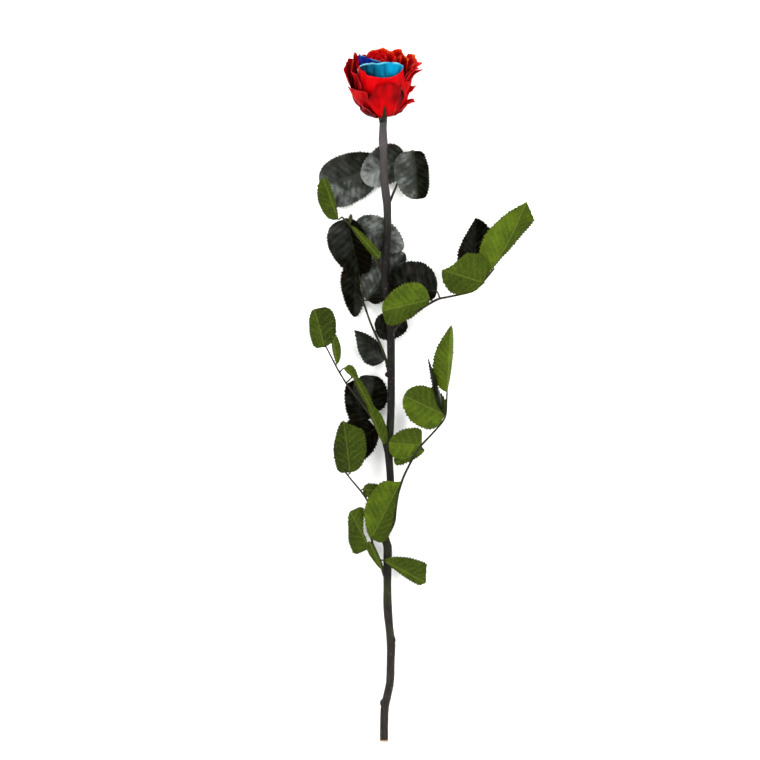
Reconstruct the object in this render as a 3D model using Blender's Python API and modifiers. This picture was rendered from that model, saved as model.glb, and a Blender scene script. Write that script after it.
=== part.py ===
"""A preserved rose on its cut stem, lying on a surface.

Metres, +Z up.  The stem runs along Y with the bloom towards +Y, the surface is z = 0, and the
origin is the middle of the flower's footprint.  Places along and across the flower are read
from its picture, seen from straight above: u to the right and v down, in picture units that
one length turns into metres.  Heights are given in millimetres above the surface.
"""

import math
from typing import NamedTuple

import bmesh
import bpy
from mathutils import Matrix, Vector

MM = 0.001

# Driving dimensions
FLOWER_LENGTH = 548 * MM
STEM_RADIUS = 2.8 * MM
BLOOM_TILT = math.radians(24)
BLOOM_LEAN = math.radians(3)
PETAL_THICKNESS = 0.9 * MM
BLADE_THICKNESS = 0.7 * MM
RACHIS_RADIUS = 0.9 * MM
STALK_RADIUS = 0.75 * MM
GAP = 0.3 * MM

# The picture's units
PICTURE_LENGTH = 693.5
PICTURE_CENTRE = (422.3, 395.3)
UNIT = FLOWER_LENGTH / PICTURE_LENGTH

# How finely things are cut
TOOTH_PITCH = 7.4
TOOTH_DEPTH = 0.9
RIB_STEPS = 5
PETAL_COLUMNS = 5
PETAL_ROWS = 4


class Leaflet(NamedTuple):
    """One toothed blade.  base and tip are (u, v, height in mm); left and right are the width
    in picture units and how far along it is widest, seen looking from base to tip."""

    base: tuple
    tip: tuple
    left: tuple
    right: tuple
    point: float = 1.2
    lift: tuple = (0.0, 0.0)
    arch: float = 1.5
    bow: float = 0.0
    toothed: bool = True


class Petal(NamedTuple):
    """One petal: where it stands round the axis (degrees from the side that faces up, to the
    right), half its spread, its belly radius and height in mm, and how its rim is shaped."""

    angle: float
    spread: float
    radius: float
    height: float
    rim: float = 0.95
    flare: float = 2.0
    drop: float = 0.35
    spiral: float = 1.0
    start: float = 0.12
    belly: float = 0.84


# The stem: u, v, height in mm, thickness as a share of the stem's own
STEM_ROUTE = (
    (383.4, 119.6, 14.0, 0.92),
    (383.0, 128, 14.2, 0.92),
    (383.0, 136, 14.4, 1.08),
    (383.2, 144, 14.5, 1.12),
    (383.4, 152, 14.6, 0.95),
    (384.3, 180, 14.9, 0.98),
    (386.2, 196, 15.0, 1.08),
    (387.4, 210, 15.1, 1.0),
    (387.2, 240, 15.2, 1.0),
    (385.4, 264, 15.2, 1.04),
    (385.2, 285, 15.1, 1.0),
    (388.0, 306, 15.0, 1.0),
    (390.6, 330, 15.0, 1.06),
    (391.0, 350, 14.8, 1.05),
    (391.2, 395, 14.2, 1.0),
    (390.3, 425, 13.8, 1.02),
    (388.6, 448, 13.4, 1.08),
    (389.6, 466, 13.0, 0.98),
    (390.6, 486, 12.5, 1.0),
    (389.0, 512, 11.8, 1.0),
    (386.6, 534, 11.1, 1.02),
    (387.6, 548, 10.6, 1.12),
    (387.5, 562, 10.1, 1.1),
    (387.3, 585, 9.3, 1.0),
    (388.0, 610, 8.3, 1.02),
    (390.0, 630, 7.5, 1.0),
    (391.2, 643, 7.0, 1.18),
    (391.0, 658, 6.4, 1.0),
    (389.8, 682, 5.6, 0.98),
    (386.6, 698, 5.0, 1.04),
    (384.6, 708, 4.6, 1.08),
    (384.0, 725, 3.9, 1.0),
    (384.0, 742, 3.2, 1.08),
)

# Buds, scars and stubs that stand out of the stem: u, v, height in mm, length and thickness
STEM_KNOBS = (
    (387.6, 374.5, 14.6, 4.2, 1.7),
    (394.0, 641, 7.4, 7.0, 2.2),
    (381.8, 703, 4.8, 6.0, 2.0),
    (390.6, 548, 10.8, 6.5, 2.2),
    (382.0, 140, 15.6, 6.0, 1.8),
)

# The bloom stands on its receptacle here
BLOOM_SEAT = (382.6, 114.5, 16.4)

RED_PETALS = (
    # the heart
    Petal(70, 95, 4.0, 48.5, 0.75, 0.2, 0.25, 1.0, 0.3),
    Petal(-115, 95, 4.4, 49.0, 0.75, 0.2, 0.25, 1.0, 0.3),
    Petal(20, 75, 7.6, 49.0, 0.80, 0.4, 0.25, 1.0, 0.3),
    Petal(140, 72, 7.9, 50.0, 0.82, 0.5, 0.25, 1.0, 0.3),
    Petal(-105, 70, 8.0, 49.0, 0.82, 0.5, 0.25, 1.0, 0.3),
    # the inner turn, which the two blue petals complete
    Petal(76, 40, 12.2, 49.0, 0.88, 0.8, 0.3, 1.0, 0.25),
    Petal(134, 50, 12.8, 49.5, 0.90, 1.0, 0.3, 1.0, 0.25),
    Petal(-158, 48, 12.4, 49.5, 0.90, 1.0, 0.3, 1.0, 0.25),
    # the middle turn
    Petal(-1, 60, 20.4, 41.2, 0.97, 0.8, -0.07, 0.9),
    Petal(-80, 38, 22.0, 42.5, 1.02, 1.2, 0.10, 1.0, 0.12, 0.70),
    Petal(-122, 36, 21.8, 47.5, 0.98, 1.8, 0.25, 1.0),
    Petal(-178, 46, 19.6, 48.6, 0.98, 1.6, 0.20, 1.0),
    Petal(132, 38, 20.2, 48.4, 0.98, 2.0, 0.22, 1.0),
    Petal(86, 34, 20.8, 43.5, 0.98, 6.4, 0.20, 1.0),
    # the outer turn
    Petal(-1, 40, 24.4, 37.4, 0.98, 0.6, 0.20, 1.0),
    Petal(-60, 34, 25.0, 31.0, 1.04, 0.8, 0.14, 1.0, 0.12, 0.68),
    Petal(-108, 36, 26.6, 44.5, 1.04, 0.8, 0.14, 1.0, 0.12, 0.68),
    Petal(-174, 40, 26.8, 41.0, 1.0, 2.5, 0.3, 1.0),
    Petal(114, 32, 24.0, 47.6, 1.0, 4.6, 0.24, 1.0),
    Petal(90, 28, 20.8, 25.4, 1.0, 3.6, 0.22, 1.0),
    Petal(58, 30, 22.8, 31.5, 1.0, 1.6, 0.24, 1.0),
    Petal(72, 24, 19.4, 13.0, 1.0, 4.0, 0.22, 1.0),
)
CYAN_PETAL = Petal(-4, 76, 16.2, 52.0, 0.96, 0.3, 0.16, -1.0, 0.28)
NAVY_PETAL = Petal(-54, 45, 13.4, 52.8, 0.99, 0.4, 0.12, -2.2, 0.32)

# The sepals: angle, how far they rise along the petals, and the radius they hug in mm
SEPALS = (
    (4, 0.64, 24.7),
    (76, 0.44, 22.6),
    (148, 0.46, 25.8),
    (-142, 0.42, 26.6),
    (-72, 0.42, 21.8),
)
# Height along the bloom's axis and radius in mm, from the top down
RECEPTACLE = ((0.4, 3.2), (-0.6, 4.6), (-2.4, 4.9), (-4.6, 4.0), (-6.6, 2.7))
BLOOM_CORE = ((34.0, 0.0), (31.0, 4.5), (25.0, 7.5), (16.0, 9.8), (8.0, 10.2), (3.2, 9.4),
              (1.2, 7.4), (0.7, 0.0))
SEPAL_HALF_WIDTH = 2.7 * MM
SEPAL_THICKNESS = 0.8 * MM
SEPAL_ROWS = 5


class CompoundLeaf(NamedTuple):
    """A leaf of several leaflets on one rachis, which starts inside the stem.  Its buds have a
    place, a length and a thickness in mm."""

    name: str
    rachis: tuple
    leaflets: tuple
    colour: tuple
    buds: tuple = ()


OLIVE = (0.105, 0.155, 0.020)
DEEP_GREEN = (0.020, 0.030, 0.018)

LEAVES = (
    CompoundLeaf(
        "leaf_top",
        ((386.5, 206, 15.0), (390, 199, 14.2), (392.4, 192, 12.4), (395.4, 185, 10.4),
         (399, 176, 9.2), (405, 160, 8.0), (409, 152, 7.6)),
        (
            Leaflet((413.5, 150.5, 8.0), (416, 200, 9.5), (16.5, 0.50), (21.5, 0.40), 0.75, (1, 3), 3.5),
            Leaflet((406, 156, 7.2), (361.5, 179, 4.0), (17, 0.50), (22, 0.36), 1.0, (2, 0.5), 3),
            Leaflet((387, 163, 4.6), (319.5, 188, 0.5), (26, 0.62), (22.5, 0.54), 1.0, (1, 3), 2.5),
        ),
        DEEP_GREEN,
    ),
    CompoundLeaf(
        "leaf_upper_left",
        ((385.5, 277, 15.2), (381, 270, 15.2), (377, 262, 15.6), (373, 254, 16.6),
         (366, 246, 18.0), (358, 237, 19.5), (352, 228, 20.5), (348, 223, 21.5),
         (342, 217, 22.5)),
        (
            Leaflet((344, 220, 22.5), (323, 179, 30.0), (12.4, 0.38), (5.0, 0.78), 1.1, (-4, -3), -3),
            Leaflet((352, 226, 21.5), (380, 258, 19.0), (3.8, 0.5), (3.2, 0.5), 1.2, (0, -3)),
            Leaflet((346.5, 218.5, 19.0), (360, 275, 9.0), (17, 0.60), (24.6, 0.34), 0.75, (1, -3), 4),
            Leaflet((355, 223, 13.4), (404, 248, 5.0), (17, 0.42), (15, 0.5), 1.1, (1, 1), 2.5),
        ),
        DEEP_GREEN,
        ((350.4, 219, 22.0, 8.0, 3.2),),
    ),
    CompoundLeaf(
        "leaf_right",
        ((390.6, 336, 15.0), (396, 327.5, 17.0), (402, 320.5, 18.8), (409, 315, 20.2),
         (421, 308, 22.2), (437, 298.6, 24.0), (447, 296.2, 25.0), (460, 293.6, 26.0),
         (470, 291.6, 27.0), (476, 288.6, 28.0), (483, 280.8, 29.5), (489, 272.8, 31.0)),
        (
            Leaflet((430, 299.5, 25.0), (382, 311, 25.0), (17, 0.80), (21.5, 0.36), 0.9,
                    (-3, -3), -2),
            Leaflet((437.5, 291.5, 21.0), (391, 284, 9.6), (13.4, 0.4), (26.2, 0.52), 0.85, (1, -1), 3),
            Leaflet((478, 286.5, 28.0), (446, 265, 34.0), (21, 0.5), (24, 0.4), 0.7, (-4, -4), -2),
            Leaflet((475, 286, 26.0), (475.8, 218, 0.4), (14.5, 0.44), (20, 0.6), 1.25, (3, 3), 5),
            Leaflet((489, 273, 31.0), (527, 202.5, 38.0), (18.6, 0.32), (13.2, 0.80), 1.25,
                    (-4, -8), -3, -5),
        ),
        OLIVE,
    ),
    CompoundLeaf(
        "leaf_middle_left",
        ((390.4, 381, 14.4), (388, 372, 14.0), (384.6, 361, 13.2), (380.6, 350, 12.6),
         (375.6, 338, 12.0), (369.8, 322, 11.5), (364.8, 306, 11.0), (363, 300, 10.5),
         (363, 290, 9.0), (360, 278, 7.6), (357, 268, 6.8)),
        (
            Leaflet((385, 360, 12.6), (354.5, 330, 18.5), (15.6, 0.34), (6.2, 0.40), 1.0, (-4, -2), -2),
            Leaflet((375.8, 331, 9.6), (408, 320.5, 6.0), (16.5, 0.44), (13.5, 0.44), 0.7, (1, -1), 1.5),
            Leaflet((356, 264, 5.4), (354, 317, 4.0), (10, 0.55), (14, 0.36), 1.15, (1.5, 1), 1),
            Leaflet((367, 300, 9.0), (405, 253, 3.2), (22, 0.5), (15, 0.34), 0.95, (-0.5, 1), 0.5),
        ),
        DEEP_GREEN,
    ),
    CompoundLeaf(
        "leaf_lower_left",
        ((388.8, 459, 13.2), (386, 452, 13.6), (384, 444, 14.6), (381, 433, 16.0),
         (376, 425, 17.5), (371, 417, 19.0), (366, 409, 20.5), (360, 401, 22.0),
         (352, 391, 24.0), (346, 383, 25.5), (338, 369, 28.0), (333, 359, 30.0),
         (326, 345, 33.0)),
        (
            Leaflet((324.5, 347, 33.0), (314.5, 309, 38.0), (11, 0.33), (18, 0.64), 0.7, (-4, -4), -3),
            Leaflet((337, 364, 28.0), (332, 332, 29.0), (2.5, 0.5), (6.5, 0.5), 1.2, (-3, -1)),
            Leaflet((344, 368, 27.0), (357, 380, 25.0), (7.5, 0.35), (1.5, 0.5), 0.9, (1, -1)),
            Leaflet((354, 376, 25.4), (374, 414, 21.0), (5, 0.45), (3, 0.5), 1.0, (-1, 1)),
            Leaflet((384, 445, 15.5), (366, 402, 23.5), (1.5, 0.5), (9.5, 0.45), 1.1, (0, 2), 0,
                    0, False),
            Leaflet((371, 418, 14.0), (347, 383.5, 4.0), (18, 0.38), (12, 0.66), 0.85, (2, 0), 3),
            Leaflet((369, 411, 14.0), (376.5, 375.5, 5.0), (19.5, 0.62), (17.4, 0.26), 0.84, (1, -3.5), 1.5),
            Leaflet((377, 428, 13.0), (336, 459, 0.4), (18, 0.50), (22.5, 0.38), 0.9, (2, 2), 3.5),
        ),
        OLIVE,
    ),
    CompoundLeaf(
        "leaf_low_right",
        ((387.0, 537, 11.0), (389.6, 530, 11.6), (392.8, 521, 13.0), (395.4, 508, 15.0),
         (398, 494, 17.0), (401, 483, 18.5), (403.4, 475, 19.5), (408, 466, 21.0),
         (413, 457, 22.5), (417, 451, 23.5), (421, 446, 24.5), (430, 437, 26.5),
         (440, 426, 28.5), (444, 420, 29.5), (446, 413, 30.5), (446.5, 402, 32.0),
         (447, 392, 34.0)),
        (
            Leaflet((447, 392, 34.0), (451, 325, 46.0), (16.4, 0.38), (3.2, 0.6), 1.6, (-6, -7), -3),
            Leaflet((445.0, 415, 30.0), (403.5, 395.5, 24.0), (21, 0.36), (17.5, 0.52), 0.85,
                    (-3, -3), -2),
            Leaflet((444, 414, 30.0), (427.8, 358, 37.0), (4.0, 0.30), (2.0, 0.4), 1.2, (-8, -7), 2),
            Leaflet((421.5, 445.5, 24.5), (389, 443, 23.0), (16, 0.52), (17.6, 0.22), 0.65,
                    (-3, -3), -1.5),
            Leaflet((424, 450, 23.0), (394.5, 463, 15.8), (5.0, 0.6), (12, 0.4), 0.8, (0, 0)),
        ),
        OLIVE,
        ((404.6, 475, 19.6, 2.6, 1.2), (402.4, 480, 18.9, 2.2, 1.2)),
    ),
    CompoundLeaf(
        "leaf_bottom_left",
        ((386.4, 580, 9.4), (383, 573, 10.0), (380.4, 563, 11.6), (375.4, 551, 14.0),
         (370.6, 541, 17.0), (368, 528, 19.0), (366.5, 514, 20.5), (366, 501, 22.0),
         (360, 491, 24.0), (350, 479, 26.5), (344, 471.5, 28.5)),
        (
            Leaflet((342.5, 472.5, 28.0), (355, 422, 35.0), (11.6, 0.42), (20.6, 0.42), 0.6, (-4, -4), -3),
            Leaflet((363, 489, 22.0), (392, 495, 18.4), (8.7, 0.35), (8, 0.35), 1.0, (0, 0)),
            Leaflet((371, 539, 18.0), (401, 482, 27.0), (22, 0.60), (11.4, 0.24), 1.05,
                    (-3, -1), -2),
            Leaflet((369.5, 549, 16.0), (351.5, 512, 25.0), (14.4, 0.28), (9.5, 0.90), 1.0, (-5, 1), -1),
            Leaflet((382, 570, 10.8), (369, 541, 17.5), (6.5, 0.75), (2.8, 0.4), 1.0, (-2, 0), 0,
                    0, False),
            Leaflet((384, 560.5, 15.6), (426, 582, 8.0), (15.8, 0.68), (5.6, 0.78), 0.95, (-2, -3), 2),
        ),
        OLIVE,
    ),
)


def clear_scene():
    for thing in list(bpy.data.objects):
        bpy.data.objects.remove(thing, do_unlink=True)


def new_collection(name):
    group = bpy.data.collections.new(name)
    bpy.context.scene.collection.children.link(group)
    return group


def paint(thing, name, colour, roughness):
    """Give a finished piece its own plain material."""
    material = bpy.data.materials.new(name)
    material.use_nodes = True
    shader = material.node_tree.nodes["Principled BSDF"]
    shader.inputs["Base Color"].default_value = (*colour, 1.0)
    shader.inputs["Roughness"].default_value = roughness
    shader.inputs["Metallic"].default_value = 0.0
    thing.data.materials.clear()
    thing.data.materials.append(material)


def place(u, v, height_mm):
    """A point of the picture, at a height above the surface."""
    return Vector(((u - PICTURE_CENTRE[0]) * UNIT, (PICTURE_CENTRE[1] - v) * UNIT, height_mm * MM))


def mesh_object(name, vertices, faces, group):
    mesh = bpy.data.meshes.new(name)
    mesh.from_pydata([tuple(vertex) for vertex in vertices], [], faces)
    thing = bpy.data.objects.new(name, mesh)
    group.objects.link(thing)
    return thing


def evaluated_copy(thing, name, group):
    """The object as its modifiers leave it, as a plain mesh in a new object."""
    bpy.context.view_layer.update()
    graph = bpy.context.evaluated_depsgraph_get()
    mesh = bpy.data.meshes.new_from_object(thing.evaluated_get(graph), depsgraph=graph)
    matrix = thing.matrix_world.copy()
    bpy.data.objects.remove(thing, do_unlink=True)
    copy = bpy.data.objects.new(name, mesh)
    copy.matrix_world = matrix
    group.objects.link(copy)
    return copy


def weld(thing, distance=1e-6):
    work = bmesh.new()
    work.from_mesh(thing.data)
    bmesh.ops.remove_doubles(work, verts=work.verts, dist=distance)
    bmesh.ops.triangulate(work, faces=work.faces)
    work.to_mesh(thing.data)
    work.free()


def tube(name, points, radii, group, resolution=1):
    """A closed tube through the points, as a mesh."""
    curve = bpy.data.curves.new(name, "CURVE")
    curve.dimensions = "3D"
    curve.bevel_depth = 1.0
    curve.bevel_resolution = resolution
    curve.use_fill_caps = True
    spline = curve.splines.new("POLY")
    spline.points.add(len(points) - 1)
    for knot, point, radius in zip(spline.points, points, radii):
        knot.co = (*point, 1.0)
        knot.radius = radius
    thing = bpy.data.objects.new(name, curve)
    group.objects.link(thing)
    thing = evaluated_copy(thing, name, group)
    bpy.data.curves.remove(curve)
    weld(thing)
    return thing


def ellipsoid(name, centre, axis, length, thickness, group):
    """A closed ellipsoid with its long side along the axis."""
    mesh = bpy.data.meshes.new(name)
    work = bmesh.new()
    bmesh.ops.create_uvsphere(work, u_segments=8, v_segments=5, radius=0.5)
    turn = Vector((0, 0, 1)).rotation_difference(axis).to_matrix()
    for vertex in work.verts:
        stretched = Vector((vertex.co.x * thickness, vertex.co.y * thickness, vertex.co.z * length))
        vertex.co = turn @ stretched + centre
    bmesh.ops.triangulate(work, faces=work.faces)
    work.to_mesh(mesh)
    work.free()
    thing = bpy.data.objects.new(name, mesh)
    group.objects.link(thing)
    return thing


def thicken(thing, thickness):
    """Give an open surface its wall, half to each side."""
    wall = thing.modifiers.new("wall", "SOLIDIFY")
    wall.thickness = thickness
    wall.offset = 0.0
    wall.use_rim = True


def boolean(body, operation, pieces):
    """Join the pieces to the body or cut them from it, and remove them."""
    group = new_collection("pieces")
    for piece in pieces:
        for owner in list(piece.users_collection):
            owner.objects.unlink(piece)
        group.objects.link(piece)
    cut = body.modifiers.new(operation.lower(), "BOOLEAN")
    cut.operation = operation
    cut.operand_type = "COLLECTION"
    cut.collection = group
    cut.solver = "MANIFOLD"
    home = body.users_collection[0]
    result = evaluated_copy(body, body.name, home)
    for piece in list(group.objects):
        bpy.data.objects.remove(piece, do_unlink=True)
    bpy.data.collections.remove(group)
    return result


def islands(work):
    """The faces of each separate shell."""
    unseen = set(work.faces)
    shells = []
    while unseen:
        shell = []
        edge_of_search = [unseen.pop()]
        while edge_of_search:
            face = edge_of_search.pop()
            shell.append(face)
            for edge in face.edges:
                for other in edge.link_faces:
                    if other in unseen:
                        unseen.remove(other)
                        edge_of_search.append(other)
        shells.append(shell)
    return shells


def shell_volume(shell):
    volume = 0.0
    for face in shell:
        first, *others = [vertex.co for vertex in face.verts]
        for a, b in zip(others, others[1:]):
            volume += first.dot(a.cross(b)) / 6
    return volume


def keep_main_body(thing):
    """Drop loose scraps and fill sealed hollows: only the largest shell stays."""
    work = bmesh.new()
    work.from_mesh(thing.data)
    bmesh.ops.remove_doubles(work, verts=work.verts, dist=2e-6)
    bmesh.ops.dissolve_degenerate(work, edges=work.edges, dist=1e-6)
    bmesh.ops.triangulate(work, faces=work.faces)
    shells = islands(work)
    main = max(shells, key=shell_volume)
    loose = [face for shell in shells if shell is not main for face in shell]
    bmesh.ops.delete(work, geom=loose, context="FACES")
    lone = [vertex for vertex in work.verts if not vertex.link_faces]
    bmesh.ops.delete(work, geom=lone, context="VERTS")
    work.to_mesh(thing.data)
    work.free()


def stem_body(name, grown, group):
    """The stem with its knobs, larger all round by the given amount."""
    path = [place(u, v, height) for u, v, height, share in STEM_ROUTE]
    path[0] += (path[0] - path[1]).normalized() * grown
    path[-1] += (path[-1] - path[-2]).normalized() * grown
    radii = [STEM_RADIUS * share + grown for u, v, height, share in STEM_ROUTE]
    body = tube(name, path, radii, group, resolution=2)
    knobs = []
    for u, v, height, length, thickness in STEM_KNOBS:
        axis = Vector((0.15, 1, 0)).normalized()
        knobs.append(ellipsoid("knob", place(u, v, height), axis, length * MM + 2 * grown,
                               thickness * 2 * MM + 2 * grown, group))
    body = boolean(body, "UNION", knobs)
    keep_main_body(body)
    return body


def stem(group):
    body = stem_body("stem", 0.0, group)
    paint(body, "dark_bark", (0.028, 0.022, 0.018), 0.6)
    return body


def bloom_frame():
    """Where the bloom is seated, and its axis, right and upward-facing directions."""
    axis = Vector((-math.sin(BLOOM_LEAN), math.cos(BLOOM_TILT), math.sin(BLOOM_TILT))).normalized()
    right = axis.cross(Vector((0, 0, 1))).normalized()
    front = right.cross(axis)
    return place(*BLOOM_SEAT), axis, right, front


def bloom_point(angle, radius, height):
    """A point of the bloom, from its angle round the axis, radius and height in mm."""
    seat, axis, right, front = bloom_frame()
    turn = math.radians(angle)
    return seat + (axis * height + (right * math.sin(turn) + front * math.cos(turn)) * radius) * MM


def bezier(p0, p1, p2, p3, t):
    s = 1 - t
    return p0 * s**3 + 3 * p1 * s * s * t + 3 * p2 * s * t * t + p3 * t**3


def petal_profile(petal, rise):
    """Radius and height in mm on the way from the base, rise 0, to the rim, rise 1."""
    low, high = petal.belly * petal.radius, (petal.belly + 0.32) * petal.radius
    radius = bezier(2.5, low, high, petal.rim * petal.radius, rise)
    height = bezier(0.8, 0.02 * petal.height, 0.48 * petal.height, petal.height, rise)
    rolled = max(0.0, (rise - 0.72) / 0.28)
    return radius + petal.flare * rolled**2, height - 0.35 * petal.flare * rolled**3


def petal_point(petal, across, rise):
    """across runs from -1 to 1 and rise from 0 at the base to 1 at the rim."""
    top = 1 - petal.drop * abs(across) ** 2.6
    shown = petal.start + (top - petal.start) * rise
    radius, height = petal_profile(petal, shown)
    radius += petal.spiral * across * min(1.0, 1.6 * shown)
    return bloom_point(petal.angle + petal.spread * across, radius, height)


def petal_sheet(name, petal, group, margin=0.0):
    """The petal's open surface.  A margin carries its edges a little past the petal's own."""
    vertices = []
    for row in range(PETAL_ROWS + 1):
        for column in range(PETAL_COLUMNS + 1):
            across = (2 * column / PETAL_COLUMNS - 1) * (1 + margin)
            rise = row / PETAL_ROWS * (1 + 2 * margin) - margin
            vertices.append(petal_point(petal, across, rise))
    faces = []
    wide = PETAL_COLUMNS + 1
    for row in range(PETAL_ROWS):
        for column in range(PETAL_COLUMNS):
            corner = row * wide + column
            faces.append((corner, corner + 1, corner + wide + 1))
            faces.append((corner, corner + wide + 1, corner + wide))
    return mesh_object(name, vertices, faces, group)


def solid_petal(name, petal, group, thickness=PETAL_THICKNESS, margin=0.0):
    sheet = petal_sheet(name, petal, group, margin)
    thicken(sheet, thickness)
    return evaluated_copy(sheet, name, group)


def sepal_point(sepal, across, rise, grown):
    """A point of a narrow green lobe that hugs the outer petals from below."""
    angle, length, radius = sepal
    outer = Petal(angle, 0, radius, 38.0, flare=0.0)
    radius, height = petal_profile(outer, 0.02 + length * rise + grown / MM * 0.02)
    half = SEPAL_HALF_WIDTH * max(0.0, 1 - rise) ** 0.7 + grown
    return bloom_point(angle + math.degrees(across * half / MM / radius), radius + 0.8, height - 1.0)


def sepal_lobe(name, sepal, grown, group):
    vertices = []
    for row in range(SEPAL_ROWS):
        for across in (-1, 0, 1):
            vertices.append(sepal_point(sepal, across, row / SEPAL_ROWS, grown))
    vertices.append(sepal_point(sepal, 0, 1 + 0.2 * grown / MM, grown))
    faces = []
    for row in range(SEPAL_ROWS - 1):
        for column in (0, 1):
            corner = row * 3 + column
            faces.append((corner, corner + 1, corner + 4))
            faces.append((corner, corner + 4, corner + 3))
    last = (SEPAL_ROWS - 1) * 3
    tip = SEPAL_ROWS * 3
    faces.append((last, last + 1, tip))
    faces.append((last + 1, last + 2, tip))
    sheet = mesh_object(name, vertices, faces, group)
    thicken(sheet, SEPAL_THICKNESS + 2 * grown)
    return evaluated_copy(sheet, name, group)


def turned(name, profile, sides, group):
    """A body turned round the bloom's axis.  The profile's heights and radii, in mm, run from
    the top down and start and end on the axis."""
    points = [(radius * MM, 0, height * MM) for height, radius in profile]
    edges = [(index, index + 1) for index in range(len(points) - 1)]
    mesh = bpy.data.meshes.new(name)
    mesh.from_pydata(points, edges, [])
    thing = bpy.data.objects.new(name, mesh)
    group.objects.link(thing)
    spin = thing.modifiers.new("turning", "SCREW")
    spin.steps = sides
    spin.render_steps = sides
    spin.use_merge_vertices = True
    spin.merge_threshold = 1e-5
    body = evaluated_copy(thing, name, group)
    seat, axis, right, front = bloom_frame()
    body.data.transform(Matrix((front, right, axis)).transposed().to_4x4())
    body.data.transform(Matrix.Translation(seat))
    weld(body)
    return body


def receptacle(name, grown, group):
    """The swollen top of the stem that carries sepals and petals."""
    wider = grown / MM
    profile = [(RECEPTACLE[0][0] + wider, 0.0)]
    profile += [(height, radius + wider) for height, radius in RECEPTACLE]
    profile.append((RECEPTACLE[-1][0] - wider, 0.0))
    return turned(name, profile, 10, group)


def calyx_body(name, grown, group):
    body = receptacle(name, grown, group)
    lobes = [sepal_lobe("sepal", sepal, grown, group) for sepal in SEPALS]
    body = boolean(body, "UNION", lobes)
    keep_main_body(body)
    return body


def calyx(group):
    body = calyx_body("calyx", 0.0, group)
    body = boolean(body, "DIFFERENCE", [stem_body("stem_room", GAP, group)])
    keep_main_body(body)
    paint(body, "dark_green_calyx", (0.030, 0.045, 0.014), 0.7)
    return body


def blue_petal(name, petal, colour, group):
    body = solid_petal(name, petal, group)
    keep_main_body(body)
    paint(body, name + "_tissue", colour, 0.6)
    return body


def red_petals(group):
    """All red petals round a smaller core, with room left for the blue ones and the sepals."""
    core = turned("petals_red", BLOOM_CORE, 14, group)
    petals = [solid_petal("petal", petal, group) for petal in RED_PETALS]
    body = boolean(core, "UNION", petals)
    room = [
        solid_petal("cyan_room", CYAN_PETAL, group, PETAL_THICKNESS + 2 * GAP, 0.03),
        solid_petal("navy_room", NAVY_PETAL, group, PETAL_THICKNESS + 2 * GAP, 0.03),
        calyx_body("calyx_room", GAP, group),
    ]
    body = boolean(body, "DIFFERENCE", room)
    keep_main_body(body)
    seat = place(*BLOOM_SEAT)
    bpy.ops.mesh.primitive_cube_add(size=1.0, location=(seat.x, seat.y, -0.005))
    surface = bpy.context.active_object
    surface.scale = (0.2, 0.2, 0.01)
    bpy.context.view_layer.update()
    body = boolean(body, "DIFFERENCE", [surface])
    keep_main_body(body)
    paint(body, "red_petal_tissue", (0.70, 0.004, 0.010), 0.65)
    return body


def bulge(t, widest, point):
    """A rounded outline from 0 at t = 0 to 1 where widest, and back to 0 at t = 1."""
    t = min(max(t, 0.0), 1.0)
    rising = (t / widest) ** (point * widest)
    return rising * ((1 - t) / (1 - widest)) ** (point * (1 - widest))


def leaflet_point(leaflet, side, t, reach):
    """A point of the blade: side 1 is left and -1 right, reach is 0 at the rib, 1 at the edge."""
    base, tip = Vector(leaflet.base), Vector(leaflet.tip)
    run = tip - base
    left = Vector((run.y, -run.x, 0)).normalized()
    width, widest = leaflet.left if side > 0 else leaflet.right
    lift = leaflet.lift[0] if side > 0 else leaflet.lift[1]
    swell = bulge(t, widest, leaflet.point)
    hump = 4 * t * (1 - t)
    rib = base + run * t + left * leaflet.bow * hump
    edge = base + run * t + left * side * width * swell
    spot = rib.lerp(edge, reach)
    spot.z = (base + run * t).z + leaflet.arch * hump + lift * swell * reach**2
    return place(*spot)


def blade_sheet(name, leaflet, group):
    """The open surface of one leaflet, with its teeth, cut down the rib."""
    length = (Vector(leaflet.tip).xy - Vector(leaflet.base).xy).length
    teeth = max(3, round(length / TOOTH_PITCH))
    rib = [(step / RIB_STEPS, leaflet_point(leaflet, 1, step / RIB_STEPS, 0.0))
           for step in range(RIB_STEPS + 1)]
    vertices = [point for t, point in rib]
    faces = []
    for side in (1, -1):
        width = leaflet.left[0] if side > 0 else leaflet.right[0]
        depth = min(TOOTH_DEPTH / width, 0.12) if leaflet.toothed else 0.0
        edge = []
        for step in range(1, 2 * teeth):
            at_tooth = step % 2
            t = (step + (0.45 if at_tooth and leaflet.toothed else 0.0)) / (2 * teeth)
            reach = 1 + depth * (0.5 if at_tooth else -0.5)
            edge.append((t, leaflet_point(leaflet, side, t, reach)))
        first = len(vertices)
        vertices += [point for t, point in edge]
        inner = [(t, index) for index, (t, point) in enumerate(rib)]
        outer = [(0.0, 0)] + [(t, first + index) for index, (t, point) in enumerate(edge)]
        outer.append((1.0, RIB_STEPS))
        faces += strip(inner, outer, side)
    return mesh_object(name, vertices, faces, group)


def strip(inner, outer, side):
    """Triangles between two rows of points that share their first and last one."""
    faces = []
    i = j = 0
    while i < len(inner) - 1 or j < len(outer) - 1:
        step_outer = i == len(inner) - 1 or (
            j < len(outer) - 1 and outer[j + 1][0] <= inner[i + 1][0] + 1e-9
        )
        corner = outer[j + 1][1] if step_outer else inner[i + 1][1]
        face = (inner[i][1], outer[j][1], corner)
        if len(set(face)) == 3:
            faces.append(face if side > 0 else face[::-1])
        if step_outer:
            j += 1
        else:
            i += 1
    return faces


def solid_leaflet(leaflet, group):
    sheet = blade_sheet("leaflet", leaflet, group)
    thicken(sheet, BLADE_THICKNESS)
    blade = evaluated_copy(sheet, "leaflet", group)
    return blade


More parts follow.
